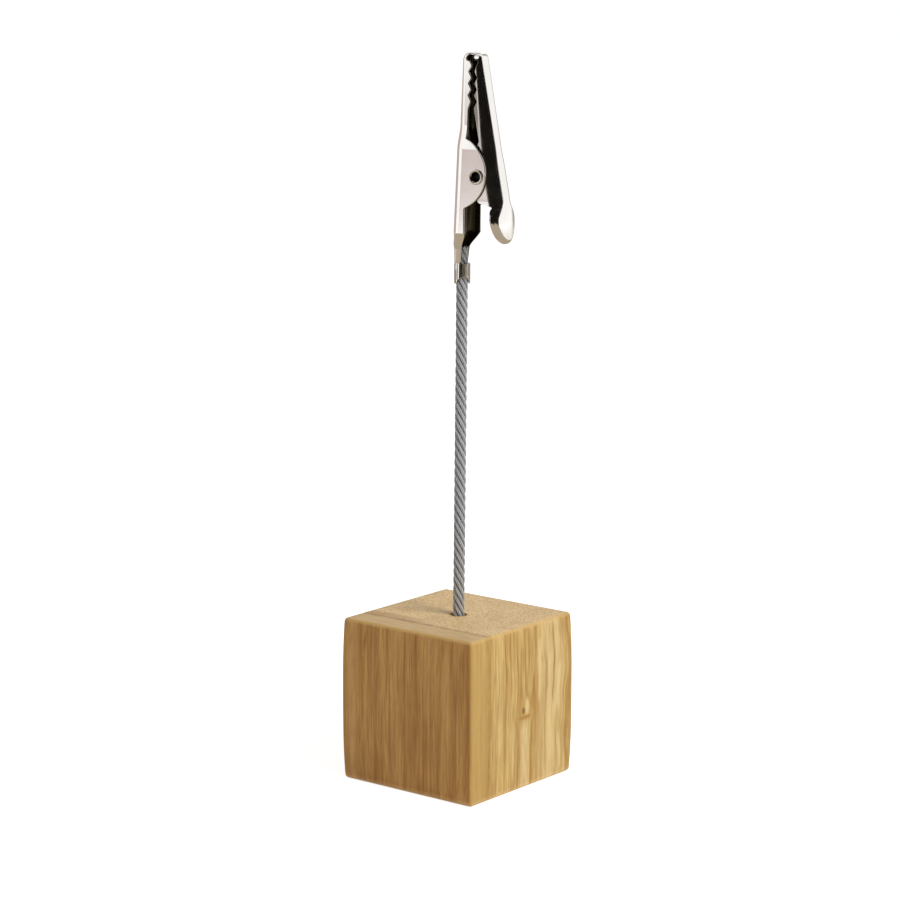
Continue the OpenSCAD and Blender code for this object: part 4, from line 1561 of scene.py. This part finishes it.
class MEMO_OT_stage(bpy.types.Operator):
    """Lays the floor and sets the camera and the light"""

    bl_idname = "memo.stage"
    bl_label = "Stage"

    key_at = (0.02, -0.75, 0.72)
    key_size = 0.5
    key_aim = (0, 0, 0.06)
    card_steps = 48
    white = (1, 1, 1, 1)
    dark = (0.008, 0.007, 0.006)
    blush = (0.61, 0.525, 0.515)
    # Each card's name, start, end and fade in degrees, colour, and what differs from the usual size
    cards = (
        ("dark_screen", -22, 96, 8, dark, {"high": 1.3}),
        ("dark_canopy", -75, 0, 12, dark, {"low": 0.40, "high": 1.3, "soft": 0.05}),
        ("blush_card", -46, -10, 6, blush, {"radius": 0.46, "low": 0.0513, "high": 0.134, "soft": 0.007}),
        ("barrel_card", 30, 205, 14, (0.46, 0.40, 0.30), {"radius": 0.41, "high": 0.0475}),
        ("left_card", 206, 285, 6, (0.50, 0.41, 0.38), {"radius": 0.55}),
        ("right_card", 162, 209, 12, (0.40, 0.37, 0.35), {"radius": 0.56, "low": 0.03}),
    )

    def camera(self):
        stage = settings().stage
        a, e = stage.azimuth, stage.elevation
        back = Vector((sin(a) * cos(e), -cos(a) * cos(e), sin(e)))
        right = Vector((cos(a), sin(a), 0))
        up = back.cross(right)
        turn = Matrix((right, up, back)).transposed().to_4x4()
        data = bpy.data.cameras.new("camera")
        data.lens = stage.lens
        data.sensor_width = 36
        data.sensor_fit = "HORIZONTAL"
        data.clip_end = 40
        camera = new_object("camera", data)
        rolled = turn @ Matrix.Rotation(stage.roll, 4, "Z")
        camera.matrix_world = Matrix.Translation(stage.camera_at) @ rolled
        bpy.context.scene.camera = camera

    def lamp(self):
        data = bpy.data.lights.new("key", "AREA")
        data.shape = "SQUARE"
        data.size = self.key_size
        data.energy = settings().stage.key
        lamp = new_object("key", data)
        aim = Vector(self.key_aim) - Vector(self.key_at)
        lamp.rotation_euler = aim.to_track_quat("-Z", "Y").to_euler()
        lamp.location = self.key_at
        lamp.visible_glossy = False

    def room(self):
        """Even light all round that is white to the camera and in reflections."""
        world = bpy.data.worlds.new("studio")
        world.use_nodes = True
        nodes = Nodes(world.node_tree)
        world.node_tree.nodes.clear()
        even, bright = (
            nodes.add("ShaderNodeBackground", {"Color": self.white, "Strength": strength}).outputs[0]
            for strength in (settings().stage.room, 1.0)
        )
        both = nodes.add("ShaderNodeMixShader", {0: nodes.seen_rays(), 1: even, 2: bright})
        result = nodes.add("ShaderNodeOutputWorld", {0: both.outputs[0]})
        result.is_active_output = True
        bpy.context.scene.world = world

    def card(self, name, start, end, fade, tone, radius=0.42, low=0.002, high=0.62, soft=0.003):
        """A curved card, with soft edges, that only reflections show.

        Its angles in degrees run from the side that the fixed jaw's ears face, towards the side where
        the jaw opens.
        """
        across = settings().clip.toward - pi / 2
        steps = self.card_steps
        points, faces, shades = [], [], []
        for i in range(steps + 1):
            angle = start + (end - start) * i / steps
            a = across + radians(angle)
            points += [(radius * cos(a), radius * sin(a), z) for z in (low, low + soft, high - soft, high)]
            share = min(1, (angle - start) / fade, (end - angle) / fade)
            shades += [0, share, share, 0]
        for i in range(steps):
            k = 4 * i
            faces += [(k + row, k + row + 4, k + row + 5, k + row + 1) for row in range(3)]
        self.finish_card(new_piece(name, points, faces), shades, tone)

    def floor_card(self, name, radius, tone):
        """A round card on the floor, with a soft rim, that only reflections show."""
        turns = [2 * pi * i / self.card_steps for i in range(self.card_steps)]
        rings = ((0.005, 1.0), (0.75 * radius, 1.0), (radius, 0.0))
        points = [(r * cos(a), r * sin(a), 0.001) for a in turns for r, _ in rings]
        faces = lofted(self.card_steps, len(rings), closed=True, whole=False)
        shades = [share for _, share in rings] * self.card_steps
        self.finish_card(new_piece(name, points, faces), shades, tone)

    def finish_card(self, card, shades, tone):
        """Lets a card glow in its colour, as far as each point's shade says, for glossy rays alone."""
        mark(card, "shade", shades)
        material, nodes, _ = new_material(card.name)
        plain = nodes.add("ShaderNodeEmission", {"Color": (*tone, 1), "Strength": 1.0})
        clear = nodes.add("ShaderNodeBsdfTransparent")
        both = nodes.add("ShaderNodeMixShader", {0: nodes.attribute("shade"), 1: clear, 2: plain})
        nodes.put(both, nodes.tree.nodes["Material Output"].inputs["Surface"])
        card.data.materials.append(material)
        card.visible_camera = card.visible_diffuse = False
        card.visible_shadow = card.visible_transmission = False

    def execute(self, context):
        self.camera()
        for name, start, end, fade, tone, sizes in self.cards:
            self.card(name, start, end, fade, tone, **sizes)
        self.floor_card("warm_card", 0.60, (0.42, 0.36, 0.27))
        half = settings().stage.floor_size / 2
        corners = [(-half, -half, 0), (half, -half, 0), (half, half, 0), (-half, half, 0)]
        floor = new_piece("floor", corners, [(0, 1, 2, 3)])
        floor.data.materials.append(floor_finish())
        self.lamp()
        self.room()
        bpy.context.scene.view_settings.view_transform = "Standard"
        return {"FINISHED"}


class MEMO_PT_panel(bpy.types.Panel):
    """Lists the pieces of the memo holder"""

    bl_label = "Memo clip holder"
    bl_idname = "MEMO_PT_panel"
    bl_space_type = "VIEW_3D"
    bl_region_type = "UI"
    bl_category = "Memo clip"

    def draw(self, context):
        for step in STEPS:
            self.layout.operator(step.bl_idname, text=step.bl_label)


STEPS = (
    MEMO_OT_stage,
    MEMO_OT_bamboo_block,
    MEMO_OT_glue_ring,
    MEMO_OT_cable,
    MEMO_OT_jaws,
    MEMO_OT_rivet,
    MEMO_OT_spring,
)

CLASSES = (
    MemoBlockSettings,
    MemoCableSettings,
    MemoClipSettings,
    MemoStageSettings,
    MemoHolderSettings,
    *STEPS,
    MEMO_PT_panel,
)


def register():
    for cls in CLASSES:
        bpy.utils.register_class(cls)
    bpy.types.Scene.memo_holder = PointerProperty(type=MemoHolderSettings)


def unregister():
    del bpy.types.Scene.memo_holder
    for cls in reversed(CLASSES):
        bpy.utils.unregister_class(cls)


def main():
    """Builds every piece in order."""
    register()
    for step in STEPS:
        group, call = step.bl_idname.split(".")
        getattr(getattr(bpy.ops, group), call)()


if __name__ == "__main__":
    main()
